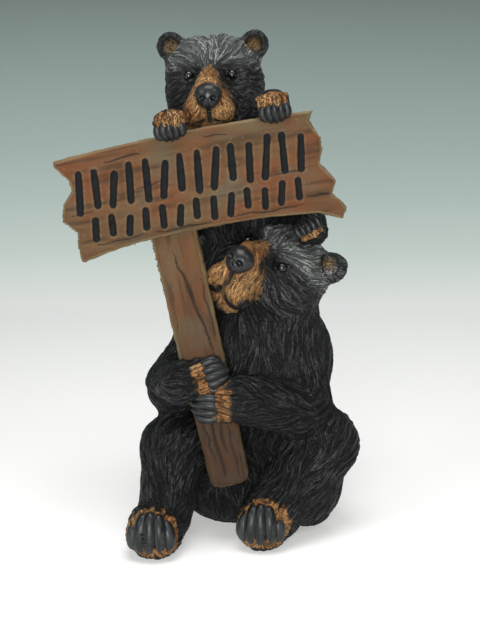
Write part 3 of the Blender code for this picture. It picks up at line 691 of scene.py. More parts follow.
def add_head(form, pose, jaw_drop, crown_brush_and_light):
    """A bear's head that looks along its own -Y. Fur runs back from between the eyes.

    The last argument is how much pale brush the crown takes, together with painted light from above.
    """
    size = pose.size
    source = pose.point(0.0, -6.0, 0.4)
    turn = pose.turn
    dark = []
    ears = []

    def jaw_place(across, deep, up, forward, down):
        """A place on the mouth, moved as far back and down as the jaw has dropped."""
        return across, deep + forward * jaw_drop, up - down * jaw_drop

    def ball(place, radii, blend):
        return form.add(Ball(pose.point(*place), vec(*radii) * size, turn), blend * size, source=source)

    def limb(start, end, start_radius, end_radius, blend):
        shape = Limb(pose.point(*start), pose.point(*end), start_radius * size, end_radius * size)
        form.add(shape, blend * size, source=source)

    def groove(start, end, start_radius, end_radius):
        shape = Limb(start, end, start_radius * size, end_radius * size)
        dark.append(form.cut(shape, 0.15 * size))

    ball((0.0, 0.5, 0.3), (3.75, 3.8, 3.5), 1.2)
    limb((0.0, -1.9, -1.2), (0.0, -4.4, -1.5), 2.35, 1.6, 1.5)
    limb((0.0, -2.6, 0.75), (0.0, -5.2, -0.5), 0.85, 0.9, 0.9)
    for side in (-1.0, 1.0):
        ball((side * 1.85, 0.6, 1.65), (2.1, 2.6, 1.95), 1.5)
        ball((side * 2.05, -0.2, -1.0), (2.1, 2.8, 2.3), 1.5)
        limb((side * 0.85, -2.7, 1.85), (side * 2.7, -2.2, 1.5), 0.6, 0.5, 0.9)
        ball(jaw_place(side, -4.75, -2.4, 0.75, 0.85), (1.15, 1.45, 1.25), 0.5)
        ears.append(ball((side * EAR[0], EAR[1], EAR[2]), (1.25, 0.8, 1.27), 0.6))
        hollow = pose.point(side * EAR[0] * 0.985, EAR[1] - 0.78, EAR[2] - 0.05)
        form.cut(Ball(hollow, vec(0.8, 0.7, 0.82) * size, turn), 0.2 * size)
    limb((0.0, -1.6, -2.2), jaw_place(0.0, -4.2, -3.1, 1.0, 1.2), 1.6, 1.0, 0.4)
    ball(jaw_place(0.0, -4.0, -3.2, 0.9, 1.25), (1.4, 1.2, 0.75), 0.5)
    lip_radius = 0.2 + 0.14 * jaw_drop
    for side in (-1.0, 1.0):
        lip = pose.point(*jaw_place(side * 1.15, -5.3, -3.6, 0.9, 0.7))
        middle = pose.point(*jaw_place(0.0, -5.6, -3.4, 0.75, 0.6))
        back = pose.point(*jaw_place(side * 2.35, -3.0, -3.2, 0.9, 0.9))
        groove(back, lip, 0.14 + 0.04 * jaw_drop, lip_radius)
        groove(lip, middle, lip_radius, lip_radius)
    lips = list(dark)
    sockets = []
    for side in (-1.0, 1.0):
        socket = pose.point(side * EYE[0], EYE[1] - 0.35, EYE[2])
        sockets.append(form.cut(Ball(socket, vec(0.6, 0.45, 0.52) * size, turn), 0.35 * size))
        for (inner, outer), lid_radius in LIDS:
            start = pose.point(side * (EYE[0] + inner[0]), EYE[1] + inner[1], EYE[2] + inner[2])
            end = pose.point(side * (EYE[0] + outer[0]), EYE[1] + outer[1], EYE[2] + outer[2])
            form.add(Limb(start, end, lid_radius * size, lid_radius * size), 0.12 * size, source=source)
    groove(pose.point(0.0, NOSE[1] + 0.25, NOSE[2] - 0.7),
           pose.point(*jaw_place(0.0, -5.3, -3.45, 0.75, 0.6)), 0.16, 0.17)
    nose = Form()
    tip = pose.point(NOSE[0], NOSE[1], NOSE[2] - 0.38)
    nose.add(Ball(pose.point(NOSE[0], NOSE[1], NOSE[2] + 0.2), vec(*NOSE_RADII) * size, turn), 0.1)
    nose.add(Ball(tip, vec(*NOSE_TIP_RADII) * size, turn), 0.5 * size)

    def paint(points):
        local = pose.local(points)
        half = np.interp(local[:, 2], MUZZLE_HEIGHTS, MUZZLE_HALVES)
        inside = np.minimum(half - np.abs(local[:, 0]), -3.1 - local[:, 1])
        inside = np.where(local[:, 2] < MUZZLE_HEIGHTS[-1], inside, -1.0)
        lower_lip = np.minimum(0.7 - nearest(points, lips) / size, -2.3 - local[:, 1])
        inside = np.where(local[:, 2] < -3.6 - 0.8 * jaw_drop, lower_lip, inside)
        ragged = 0.5 * (lattice_noise(local, 0.3, 31) - 0.5)
        tan = np.clip(0.5 + (inside + ragged) / 0.3, 0.0, 1.0)
        across = np.abs(local[:, 0]) - EAR[0] * 0.985
        ear = 1.5 - 1.5 * np.hypot(across, local[:, 2] - EAR[2] + 0.05) / 0.74
        ear = np.where(local[:, 1] < EAR[1] + 0.1, np.clip(ear, 0.0, 1.0), 0.0)
        # Fur along the mouth and nose grooves is kept black: black paint in the lines, and painted shade
        # where the jaw hangs open.
        black = 1.0 - np.clip(nearest(points, dark) / size / 0.12, 0.0, 1.0)
        black = np.maximum(black, 1.0 - np.clip(nose.measure(points)[0] / size / 0.12, 0.0, 1.0))
        # Round the eye sockets the fur is smooth and gets no pale brush: the smooth cast, and painted shade
        # in the hollows.
        bald = 1.0 - np.clip(nearest(points, sockets) / size / 1.0, 0.0, 1.0)
        rim = 1.0 - np.clip(nearest(points, ears) / size / 0.35, 0.0, 1.0)
        bald = np.maximum(np.clip(1.7 * bald, 0.0, 1.0), 0.6 * rim)
        # The crown takes the most pale brush: partly brushed paint, partly painted light from above.
        crown = np.clip((local[:, 2] - 0.5) / 1.4, 0.0, 1.0) * np.clip(2.0 - local[:, 1], 0.0, 1.0)
        return {"tan": tan * (1.0 - black), "ear": ear, "bald": np.maximum(bald, black),
                "brush": crown_brush_and_light * (0.05 + 0.95 * crown) * (1.0 - 0.8 * rim)}

    form.paints.append((paint, pose.place, 9.0 * size))
    return nose


CLAW_COUNT = 5


def claw_places():
    """Where each claw stands in its row, from -1 to 1."""
    middle = (CLAW_COUNT - 1) / 2.0
    return [(index - middle) / middle for index in range(CLAW_COUNT)]


def add_paw(form, centre, forward, outward, size, spread, length, thick, cuff, root=0.0, fringe=1.0):
    """A palm for five claws side by side on its outward face, with a tan cuff behind them.

    The claws start at root, measured forward from the centre. The tan is fringe cuffs wide.
    """
    forward = unit_vector(forward)
    outward = unit_vector(outward - forward * np.dot(outward, forward))
    sideways = np.cross(forward, outward)
    turn = np.stack((sideways, forward, outward), axis=1)
    form.add(Ball(centre, vec(spread, length * 0.8, thick) * size, turn), 0.5 * size, flow=forward)
    form.add(Ball(centre + forward * (root - cuff * 0.5 - 0.2) * size,
                  vec(spread * 1.02, cuff * 0.5 + 0.35, thick * 1.1) * size, turn),
             0.3 * size, flow=forward)
    radius = spread / CLAW_COUNT * 1.42
    claws = []
    for place in claw_places():
        side = place * (spread - radius * 0.6)
        bow = 1.0 - 0.32 * place * place
        start = centre + size * (side * 0.92 * sideways + forward * root
                                 + outward * (thick * bow - radius * 0.45))
        middle = centre + size * (side * sideways + forward * (root + length) * 0.5
                                  + outward * (thick * bow - radius * 0.6))
        tip = centre + size * (side * 0.8 * sideways + forward * length * (0.95 - 0.18 * place * place)
                               + outward * (thick * bow * 0.3))
        claws.append((start, middle, tip, outward,
                      (radius * 0.85 * size, radius * size, radius * 0.7 * size)))

    def paint(points):
        local = (points - centre) @ turn / size
        ragged = 0.5 * (lattice_noise(points, 0.35, 41) - 0.5)
        band = np.minimum(root + 0.1 - local[:, 1], local[:, 1] - root + cuff * fringe)
        band = np.minimum(band, local[:, 2] + 0.5)
        rim = 0.25 * (fringe - 1.0) - claw_gap(points, claws) / size
        rim = np.where(local[:, 1] > 0.3 * length, rim, -1.0)
        tan = np.clip(0.5 + (np.maximum(band, rim) + ragged) / 0.25, 0.0, 1.0)
        half = spread * (0.78 + 0.12 * fringe)
        tan = tan * np.clip((half - np.abs(local[:, 0])) / 0.15 + ragged, 0.0, 1.0)
        return {"tan": tan, "fringe": tan}

    form.paints.append((paint, centre, 3.2 * size))
    return claws


def claw_gap(points, claws):
    """Distance to the nearest claw, each taken as two straight bars."""
    limbs = []
    for start, middle, tip, _, radii in claws:
        limbs.append(Limb(start, middle, radii[0], radii[1]))
        limbs.append(Limb(middle, tip, radii[1], radii[2]))
    return nearest(points, limbs, 1.2)


def add_foot(form, foot, outward):
    """Five toes fan down over the front of the foot to points near the floor."""
    down = vec(0.0, 0.0, -1.0)
    outward = unit_vector(outward)
    sideways = np.cross(down, outward)
    claws = []
    for place in claw_places():
        angle = 0.74 * place
        ray = outward * math.cos(angle) + sideways * math.sin(angle)
        start = foot + ray * 1.85 + vec(0.0, 0.0, 1.5 - 0.75 * place * place)
        middle = foot + ray * 2.35 + vec(0.0, 0.0, 0.15 - 0.25 * place * place)
        tip = foot + ray * 2.35 + vec(0.0, 0.0, 0.3 * place * place - 1.3)
        claws.append((start, middle, tip, ray, (0.56, 0.74, 0.5)))

    def paint(points):
        ragged = 0.8 * (lattice_noise(points, vec(0.22, 0.22, 0.9), 43) - 0.5)
        tan = np.clip(0.5 + (0.42 - claw_gap(points, claws) + ragged) / 0.2, 0.0, 1.0)
        away = points - foot
        turned = np.abs(np.arctan2(away @ sideways, away @ outward))
        beyond = np.maximum(turned * 2.3 - 1.75, np.maximum(away[:, 2] - 1.1, -0.55 - away[:, 2]))
        tan = tan * np.clip(beyond / 0.3 + 0.5 + ragged, 0.0, 1.0)
        tan = tan * np.clip((points[:, 2] - 0.15) / 0.3, 0.0, 1.0)
        return {"tan": tan, "fringe": tan}

    form.paints.append((paint, foot, 4.6))
    return claws


def fur_flow(form, points):
    """Direction of the fur from the shapes close by."""
    total = np.zeros((len(points), 3))
    weight = np.full(len(points), 1e-9)
    for shape, flow, source in form.furs:
        near = points_near(points, shape, FLOW_REACH)
        if len(near) == 0:
            continue
        gap, _ = shape.measure(points[near])
        share = np.exp(-6.0 * np.maximum(gap, -0.1))
        weight[near] += share
        if source is not None:
            total[near] += share[:, None] * direction(points[near] - source)
        elif flow is not None:
            total[near] += share[:, None] * unit_vector(flow)
    return total / weight[:, None]


def smeared(points, along, width, length, seed, samples):
    """Noise drawn out along the fur."""
    total = np.zeros(len(points))
    for step in range(samples):
        offset = (step / (samples - 1) - 0.5) * length
        total += lattice_noise(points + offset * along, width, seed)
    return total / samples - 0.5


def comb(piece, form):
    """Carve the locks and the hair into a settled net, and keep the paint's places on it."""
    points = settle(piece.data, form, 2)
    slope = direction(form.measure(points)[1])
    flow = fur_flow(form, points)
    flow -= (flow * slope).sum(axis=1)[:, None] * slope
    length = np.linalg.norm(flow, axis=1)
    furry = np.clip(length * 2.0 - 0.2, 0.0, 1.0)
    flow /= np.maximum(length, 1e-6)[:, None]
    wander = lattice_noise(points, 4.0, 5) - 0.5
    lean = np.cross(flow, points / np.linalg.norm(points, axis=1)[:, None])
    locks = np.clip(smeared(points, flow + 0.5 * wander[:, None] * lean,
                            LOCK_WIDTH, LOCK_LENGTH, 11, 9) * 5.0, -1.0, 1.0)
    kept = {name: np.zeros(len(points)) for name in ("tan", "ear", "bald", "fringe", "brush")}
    for paint, centre, reach in form.paints:
        gap = points - centre
        near = np.nonzero((gap * gap).sum(axis=1) < reach * reach)[0]
        if len(near):
            for name, found in paint(points[near]).items():
                kept[name][near] = np.maximum(kept[name][near], found)
    sway = 1.5 * (lattice_noise(points, 1.9, 6) - 0.5) * (1.0 - 0.8 * kept["fringe"])
    hair_way = direction(flow + sway[:, None] * np.cross(flow, slope))
    hair = smeared(points, hair_way, HAIR_WIDTH, HAIR_LENGTH, 12, 9)
    hair = 0.5 + 0.5 * np.tanh(1.1 * hair / hair.std())
    short = smeared(points, hair_way, SHORT_WIDTH, SHORT_LENGTH, 13, 5)
    short = 0.5 + 0.5 * np.tanh(1.1 * short / short.std())
    muzzle = np.clip(kept["tan"] - kept["fringe"], 0.0, 1.0)
    ridge = hair + (short - hair) * muzzle
    carved = HAIR_DEPTH + (SHORT_DEPTH - HAIR_DEPTH) * muzzle
    rise = locks * LOCK_HEIGHT * furry + carved * (ridge - 0.5) + 0.06 * kept["fringe"]
    write_points(piece.data, points + (rise * (1.0 - kept["bald"]))[:, None] * slope)
    keep_values(piece.data, ridge=ridge, lock=0.5 + 0.5 * locks, flow=hair_way, **kept)


def cut_flat(mesh, point, way, keep_above):
    """Keep one side of a plane, and close the cut with flat faces behind a sharp rim."""
    bm = bmesh.new()
    bm.from_mesh(mesh)
    bmesh.ops.bisect_plane(bm, geom=bm.verts[:] + bm.edges[:] + bm.faces[:], dist=0.0005,
                           plane_co=Vector(point), plane_no=Vector(way),
                           clear_inner=keep_above, clear_outer=not keep_above)
    rim = [edge for edge in bm.edges if edge.is_boundary]
    for edge in rim:
        edge.smooth = False
    filled = bmesh.ops.holes_fill(bm, edges=rim, sides=0)
    bmesh.ops.triangulate(bm, faces=filled["faces"])
    bmesh.ops.recalc_face_normals(bm, faces=bm.faces[:])
    bm.to_mesh(mesh)
    bm.free()


def rough_net(name, form):
    """The form's shapes as one even net, loosely settled."""
    piece = new_piece(name, form.gather())
    remesh(piece, ROUGH_SPACING)
    settle(piece.data, form, 2)
    return piece


def fur_pieces(form, pieces):
    """Cut one rough net into pieces with some to spare, carve each, and trim it to its planes.

    Each cut has a point, a way, whether the side above stays, and how much is spared at first.
    """
    net = rough_net(pieces[0][0], form)
    rough_mesh = net.data.copy()
    for name, spacing, cuts in pieces:
        piece = net if name == pieces[0][0] else new_piece(name, rough_mesh.copy())
        for point, way, above, margin in cuts:
            if margin > 0.0:
                spare = vec(*way) * margin * (-1.0 if above else 1.0)
                cut_flat(piece.data, vec(*point) + spare, way, above)
        remesh(piece, spacing)
        comb(piece, form)
        for point, way, above, _ in cuts:
            cut_flat(piece.data, point, way, above)
        finished(piece, fur_paint)


def painted_fur():
    """Black paint in the carved fur, a pale grey brush on its ridges, painted top light on the crowns, and
    tan where it is kept.
    """
    material, shader, shade = new_material("fur_paint")
    lock = shade.value("lock")
    bald = shade.value("bald")
    tan_place = shade.value("tan")
    patch = shade.noise(38.0, 3.0)
    grit = shade.noise(900.0, 2.0)
    strand = shade.strands(0.0013, 0.0095, 7).between(0.44, 0.56)
    stubble = shade.strands(0.0009, 0.0028, 3).between(0.40, 0.60)
    ridge = 0.45 * shade.value("ridge") + 0.55 * strand
    # Bald places keep the pale brush off: smooth cast, and painted shade in the eye sockets.
    brush = shade.value("brush") * (1.0 - 0.85 * bald)
    # The pale brush on the ridges is paint; on the crowns it is raised further as painted light from above.
    brushed_and_lit = ridge.between(0.45, 0.85) * (0.3 + 0.7 * lock) * (0.4 + patch) * (0.14 + 1.35 * brush)
    # The crowns are lifted from black towards grey: painted light from above.
    colour = shade.mix((0.0015, 0.0018, 0.0018), (0.052, 0.055, 0.053), brush * 0.8)
    colour = shade.mix(colour, (0.230, 0.240, 0.230), brushed_and_lit)
    pale = shade.mix((0.32, 0.140, 0.045), (0.54, 0.305, 0.125), patch.between(0.35, 0.65))
    fringe = shade.value("fringe")
    comb_line = (1.0 - fringe) * (0.2 + 0.8 * stubble) + fringe * (0.15 + strand.between(0.25, 0.65))
    comb_line = comb_line * (0.25 + 0.75 * shade.value("ridge").between(0.0, 0.35))
    tan = shade.mix((0.030, 0.013, 0.006), pale, comb_line)
    colour = shade.mix(colour, tan, tan_place)
    olive = shade.mix((0.030, 0.019, 0.008), (0.20, 0.120, 0.040), strand)
    colour = shade.mix(colour, olive, shade.value("ear"))
    roughness = 0.55 - 0.15 * ridge + 0.15 * tan_place + 0.1 * grit
    height = (ridge * (1.0 - tan_place) + tan_place * stubble) * (1.0 - bald) + 0.1 * grit
    connect(shade, shader, colour, roughness, height, 0.0018)
    shader.inputs["Specular IOR Level"].default_value = 0.18
    return material


LEFT_KNEE, LEFT_ANKLE = vec(-2.7, -3.2, 8.2), vec(-3.7, -6.4, 3.2)
RIGHT_KNEE, RIGHT_ANKLE = vec(10.4, -1.4, 8.1), vec(6.1, -4.7, 3.0)

bear_claws = []
bear = Form()
# Belly, seat, underside, chest, breast, neck, tail and the shoulder under the cub
for shape, blend, flow in (
        (Ball((3.6, 2.4, 9.2), (7.3, 6.0, 7.4)), 0.5, (0.0, -0.1, -1.0)),
        (Ball((3.4, 4.6, 5.0), (7.4, 6.0, 5.6)), 2.0, (0.0, 0.3, -1.0)),
        (Ball((2.6, 1.6, 3.6), (5.2, 4.6, 4.0)), 1.5, (0.0, -0.5, -1.0)),
        (Ball((5.0, 1.5, 15.4), (5.9, 5.0, 5.4)), 2.0, (-0.1, -0.1, -1.0)),
        (Ball((2.0, 0.3, 16.2), (4.2, 4.5, 4.8)), 2.0, (-0.1, -0.1, -1.0)),
        (Limb((5.2, 1.7, 18.0), (5.9, 0.9, 22.0), 4.9, 4.1), 2.0, (0.1, 0.0, -1.0)),
        (Ball((3.4, 10.15, 6.4), (1.0, 0.75, 1.5)), 0.8, (0.0, 0.2, -1.0)),
        (Ball((1.9, 1.3, 24.0), (3.0, 3.0, 3.4)), 1.5, (-0.4, 0.0, -1.0)),
        # Left thigh and shin, then right thigh, its underside and right shin
        (Limb((0.6, 3.4, 6.0), LEFT_KNEE, 4.3, 3.1), 1.3, (-0.6, -1.0, 0.0)),
        (Limb(LEFT_KNEE, LEFT_ANKLE, 3.0, 2.4), 1.0, LEFT_ANKLE - LEFT_KNEE),
        (Limb((7.4, 3.6, 5.6), RIGHT_KNEE, 4.4, 3.2), 1.3, (0.6, -1.0, 0.2)),
        (Ball((8.8, -0.6, 4.3), (3.5, 4.4, 4.1)), 1.3, (-0.5, -0.3, -1.0)),
        (Limb(RIGHT_KNEE, RIGHT_ANKLE, 3.15, 2.7), 1.0, RIGHT_ANKLE - RIGHT_KNEE)):
    bear.add(shape, blend, flow=flow)
for foot in (vec(-4.55, -7.75, 2.05), vec(4.9, -5.75, 2.05)):
    bear.add(Ball(foot, (2.45, 2.75, 2.4)), 0.8, source=foot + vec(0.0, -2.6, -0.2))
    bear_claws.append(add_foot(bear, foot, vec(-0.1, -1.0, 0.25)))

LEFT_SHOULDER, LEFT_ELBOW = vec(0.0, 0.9, 17.0), vec(-2.9, -2.2, 13.8)
RIGHT_SHOULDER, RIGHT_ELBOW = vec(8.3, 0.9, 16.2), vec(8.6, -2.2, 11.6)
LEFT_GRIP_DOWN, RIGHT_GRIP_DOWN = 17.2, 19.6
post_front = post.back * -1.0
left_paw = post.point(-0.2, -LEFT_GRIP_DOWN, -0.35)
right_paw = post.point(0.35, -RIGHT_GRIP_DOWN, -0.35)
left_wrist = left_paw - post.across * 1.7 - post_front * 0.15
right_wrist = right_paw + post.across * 1.9 - post_front * 0.15
for shape, blend, flow in (
        (Limb(LEFT_SHOULDER, LEFT_ELBOW, 3.1, 2.45), 1.3, (-0.5, -0.3, -1.0)),
        (Limb(LEFT_ELBOW, left_wrist, 2.35, 1.85), 0.9, (1.0, -0.1, 0.15)),
        (Limb(RIGHT_SHOULDER, RIGHT_ELBOW, 3.0, 2.45), 1.3, (0.1, -0.5, -1.0)),
        (Limb(RIGHT_ELBOW, right_wrist, 2.4, 1.95), 0.9, (-1.0, -0.1, 0.2))):
    bear.add(shape, blend, flow=flow)
bear_claws.append(add_paw(bear, left_paw, post.across + 0.1 * post.up, post_front,
                          1.0, 1.6, 2.2, 1.15, 1.05, 0.45))
bear_claws.append(add_paw(bear, right_paw, post.up * 0.25 - post.across, post_front,
                          1.0, 1.6, 2.0, 1.15, 1.3))
LARGE_HEAD = Pose((5.75, 0.0, 24.08), head_turn(-17.7, -22.7, 35.8), 1.12)
large_nose = add_head(bear, LARGE_HEAD, 0.95, 1.6)

fur_paint = painted_fur()
hip_point, ground, upright = (0.0, 0.0, HIP_CUT), (0.0, 0.0, 0.0), (0.0, 0.0, 1.0)
fur_pieces(bear, (
    ("bear_hips", BODY_SPACING, ((ground, upright, True, 0.0), (hip_point, upright, False, SPARE))),
    ("bear_chest", BODY_SPACING, ((hip_point, upright, True, SPARE),
                                  (NECK_POINT, NECK_WAY, False, SPARE))),
    ("bear_head", HEAD_SPACING, ((NECK_POINT, NECK_WAY, True, SPARE),))))


# The cub: it stands behind the board with its chin and forepaws over the top edge, and rests one
# hind foot on the large bear's head. It is carved and painted as the large bear is, in two
# pieces that meet on a flat cut through the neck.

CUB_NECK_CUT = 36.6
CUB_LEFT_PAW, CUB_RIGHT_PAW, CUB_PAW_RISE = -1.4, 7.4, 0.7
CUB_FOOT = vec(8.95, -3.3, 27.8)
CUB_HEAD = Pose((0.55, 0.8, 40.57), head_turn(-3.0, 0.0, -1.5), 1.0)

cub_claws = []
cub = Form()
cub.add(Limb((0.9, 0.3, 37.0), (2.0, -0.2, 32.3), 3.5, 4.4), 1.5, flow=(0.0, 0.1, -1.0))
cub.add(Ball((3.4, 2.2, 28.2), (4.5, 4.6, 4.8)), 1.5, flow=(0.0, 0.3, -1.0))
board_front = board.back * -1.0
for across, shoulder in ((CUB_LEFT_PAW, vec(-1.7, -0.2, 36.3)), (CUB_RIGHT_PAW, vec(3.7, -0.2, 36.7))):
    paw = board.point(across, board_top(across) + CUB_PAW_RISE, 0.15)
    wrist = paw - board_front * 1.2 + board.up * 0.1
    cub.add(Limb(shoulder, wrist, 1.9, 1.3), 0.9, flow=wrist - shoulder)
    cub_claws.append(add_paw(cub, paw, -board.up, board_front, 0.82, 1.6, 1.5, 1.3, 0.8, fringe=1.8))
cub_knee = vec(8.3, 0.2, 30.6)
cub.add(Limb((5.2, 2.6, 29.2), cub_knee, 2.6, 1.9), 1.2, flow=(1.0, -0.6, 0.3))
cub.add(Limb(cub_knee, CUB_FOOT + vec(0.4, 1.0, -0.2), 1.8, 1.25), 0.8, flow=(0.2, -1.0, -0.8))
cub_claws.append(add_paw(cub, CUB_FOOT, (-0.5, 0.0, 0.85), board_front, 0.8, 1.55, 1.6, 1.3, 0.7))
cub.add(Limb((1.6, 2.4, 29.0), (-0.6, 0.2, 29.8), 2.6, 1.9), 1.2, flow=(-1.0, -0.6, 0.2))
cub.add(Limb((-0.6, 0.2, 29.8), (-1.7, -1.8, 27.9), 1.8, 1.2), 0.8, flow=(-0.2, -1.0, -0.8))
cub_nose = add_head(cub, CUB_HEAD, 0.0, 1.05)

cub_neck = (0.0, 0.0, CUB_NECK_CUT)
fur_pieces(cub, (("cub_body", BODY_SPACING, ((cub_neck, upright, False, SPARE),)),
                 ("cub_head", HEAD_SPACING, ((cub_neck, upright, True, SPARE),))))


# The claws: smooth lobes side by side on every paw and foot, painted dark grey with a satin
# varnish. A paler grey along the top of each is partly brushed paint and partly a painted highlight, and
# they run down to blunt points.

CLAW_RINGS = 18
CLAW_SIDES = 20
# How much blunter than a ball the ends of a claw are
CLAW_FULLNESS = 0.3


def add_claw(bm, start, middle, tip, outward, radii):
    """Bend a ball along start, middle and tip, with a radius for each of the three."""
    made = bmesh.ops.create_uvsphere(bm, u_segments=CLAW_SIDES, v_segments=CLAW_RINGS, radius=1.0)
    way = direction(np.array((middle - start, tip - middle, tip - start)))
    sideways = unit_vector(np.cross(way[2], outward))
    for vertex in made["verts"]:
        across, deep, along = vertex.co
        share = 0.5 + 0.5 * along
        bend = ((1.0 - share) ** 2, 2.0 * share * (1.0 - share), share ** 2)
        radius = bend[0] * radii[0] + bend[1] * radii[1] + bend[2] * radii[2]
        low = start - way[0] * radii[0] * 0.8
        high = tip + way[1] * radii[2] * 0.8
        bent = bend[0] * low + bend[1] * (2.0 * middle - (start + tip) / 2.0) + bend[2] * high
        ahead = unit_vector(way[0] * (1.0 - share) + way[1] * share)
        upward = np.cross(sideways, ahead)
        full = max(1.0 - along * along, 0.004) ** -CLAW_FULLNESS
        vertex.co = Vector(bent + (across * sideways + deep * upward) * radius * full)


def claw_paint():
    """Dark grey satin with a pale streak along each claw's back: partly brushed paint, partly a painted
    highlight.
    """
    material, shader, shade = new_material("claw_paint")
    cloud = shade.noise(260.0, 3.0)
    scuff = shade.noise(1200.0, 2.0)
    back = shade.value("back")
    # The back of each claw is paler: brushed paint, and a painted highlight on the side facing out.
    brushed_and_lit = back.between(0.6, 1.0) * (0.2 + cloud)
    colour = shade.mix((0.003, 0.0035, 0.004), (0.030, 0.032, 0.033), brushed_and_lit)
    roughness = 0.3 + 0.22 * cloud + 0.08 * scuff
    connect(shade, shader, colour, roughness, cloud + 0.3 * scuff, 0.00012)
    shader.inputs["Specular IOR Level"].default_value = 0.3
    shader.inputs["Coat Weight"].default_value = 0.15
    shader.inputs["Coat Roughness"].default_value = 0.25
    return material


claw_names = ("bear_left_toes", "bear_right_toes", "bear_left_claws", "bear_right_claws",
              "cub_left_claws", "cub_right_claws", "cub_toes")
claw_coat = claw_paint()
for name, claws in zip(claw_names, bear_claws + cub_claws):
    bm = bmesh.new()
    backs = []
    for start, middle, tip, outward, radii in claws:
        before = len(bm.verts)
        add_claw(bm, start, middle, tip, outward, radii)
        bm.verts.ensure_lookup_table()
        axis = Limb(start, tip, 0.0, 0.0)
        places = np.array([tuple(vertex.co) for vertex in bm.verts[before:]])
        backs.append(0.5 + 0.5 * axis.measure(places)[1] @ outward)
    bmesh.ops.recalc_face_normals(bm, faces=bm.faces[:])
    mesh = bpy.data.meshes.new(name)
    bm.to_mesh(mesh)
    bm.free()
    keep_values(mesh, back=np.concatenate(backs))
    finished(new_piece(name, mesh), claw_coat)


# Noses and eyes: the noses are dark satin leather with two nostrils and fine creases, the eyes
# black glass beads under varnish. They are smooth parts of the cast, without any fur.

NOSE_SPACING = 0.055


def satin_nose():
    """Black leather look: close small bumps and a soft shine."""
    material, shader, shade = new_material("nose_leather")
    grain = shade.node("TexVoronoi", {"feature": "DISTANCE_TO_EDGE"},
                       {"Vector": shade.place(), "Scale": 900.0})
    cloud = shade.noise(190.0, 3.0)
    colour = shade.mix((0.004, 0.004, 0.0045), (0.016, 0.017, 0.019), cloud.between(0.35, 0.75))
    # Nostrils, slits and the groove below them are painted darker still: painted shade in the holes.
    colour = shade.mix(colour, (0.001, 0.001, 0.001), shade.value("hole"))
    connect(shade, shader, colour, 0.35 + 0.25 * cloud, grain.between(0.0, 0.25) + cloud, 0.00018)
    shader.inputs["Specular IOR Level"].default_value = 0.2
    shader.inputs["Coat Weight"].default_value = 0.5
    shader.inputs["Coat Roughness"].default_value = 0.24
    return material


def bead_eye():
    """Glossy black with the faintest brown ring."""
    material, shader, shade = new_material("eye_gloss")
    cloud = shade.noise(600.0, 2.0)
    ring = shade.value("iris")
    colour = shade.mix((0.002, 0.002, 0.002), (0.009, 0.005, 0.003), ring * (0.4 + cloud))
    connect(shade, shader, colour, 0.14 + 0.06 * cloud, cloud, 0.00001)
    shader.inputs["Specular IOR Level"].default_value = 0.3
    shader.inputs["Coat Weight"].default_value = 0.5
    shader.inputs["Coat Roughness"].default_value = 0.05
    return material


nose_coat = satin_nose()
eye_coat = bead_eye()
for owner, pose, nose in (("bear", LARGE_HEAD, large_nose), ("cub", CUB_HEAD, cub_nose)):
    holes = []
    for side in (-1.0, 1.0):
        nostril = pose.point(side * 0.47, NOSE[1] - 0.72, NOSE[2] - 0.2)
        holes.append(nose.cut(Ball(nostril, vec(0.25, 0.34, 0.2) * pose.size, pose.turn), 0.12 * pose.size))
        slit = Limb(nostril, pose.point(side * 0.95, NOSE[1] - 0.42, NOSE[2] - 0.5),
                    0.12 * pose.size, 0.06 * pose.size)
        holes.append(nose.cut(slit, 0.1 * pose.size))
    holes.append(nose.cut(Limb(pose.point(0.0, NOSE[1] - 0.84, NOSE[2] - 0.35),
                               pose.point(0.0, NOSE[1] - 0.3, NOSE[2] - 1.1),
                               0.07 * pose.size, 0.15 * pose.size), 0.12 * pose.size))
    piece = new_piece(owner + "_nose", nose.gather())
    remesh(piece, NOSE_SPACING)
    points = settle(piece.data, nose, 3)
    keep_values(piece.data, hole=1.0 - np.clip(nearest(points, holes) / 0.08, 0.0, 1.0))
    finished(piece, nose_coat)

    bm = bmesh.new()
    for side in (-1.0, 1.0):
        centre = Matrix.Translation(Vector(pose.point(side * EYE[0], EYE[1], EYE[2])))
        bmesh.ops.create_uvsphere(bm, u_segments=48, v_segments=32, radius=EYE_RADIUS * pose.size,
                                  matrix=centre)
    mesh = bpy.data.meshes.new(owner + "_eyes")
    bm.to_mesh(mesh)
    bm.free()
    local = pose.local(read_points(mesh))
    off = np.hypot(np.abs(local[:, 0]) - EYE[0], local[:, 2] - EYE[2]) / EYE_RADIUS
    keep_values(mesh, iris=np.exp(-((off - 0.55) / 0.16) ** 2))
    finished(new_piece(owner + "_eyes", mesh), eye_coat)


# The stand for the picture: a pale sheet that lies flat under the figure and rises behind it,
# with soft lamps from above, from both sides, from in front and from behind. The camera stands a
# metre away, as high as the board's top edge, and looks slightly down.

SHEET_FRONT, SHEET_BACK, SHEET_TOP, SHEET_HALF = -5.0, 1.65, 3.5, 5.0
SHEET_BEND, BEND_STEPS = 0.55, 24
BACKDROP_GLOW = 0.4
ROOM_COLOUR, ROOM_STRENGTH = (0.86, 0.93, 0.93, 1.0), 0.15
SENSOR_HEIGHT, LENS_LENGTH = 36.0, 62.94
# The camera's place in metres, and how many degrees it looks down
CAMERA_PLACE, CAMERA_DIP = (0.0234, -1.0021, 0.38), 10.6
# Tone at each height of the sheet, as a share of the tones' height in metres
TONE_HEIGHT = 0.7
BACKDROP_TONES = ((0.002, (0.77, 0.765, 0.755)), (0.03, (0.68, 0.71, 0.68)),
                  (0.12, (0.515, 0.58, 0.545)), (0.26, (0.395, 0.465, 0.438)),
                  (0.42, (0.308, 0.373, 0.35)), (0.66, (0.22, 0.273, 0.256)),
                  (0.90, (0.137, 0.171, 0.161)))


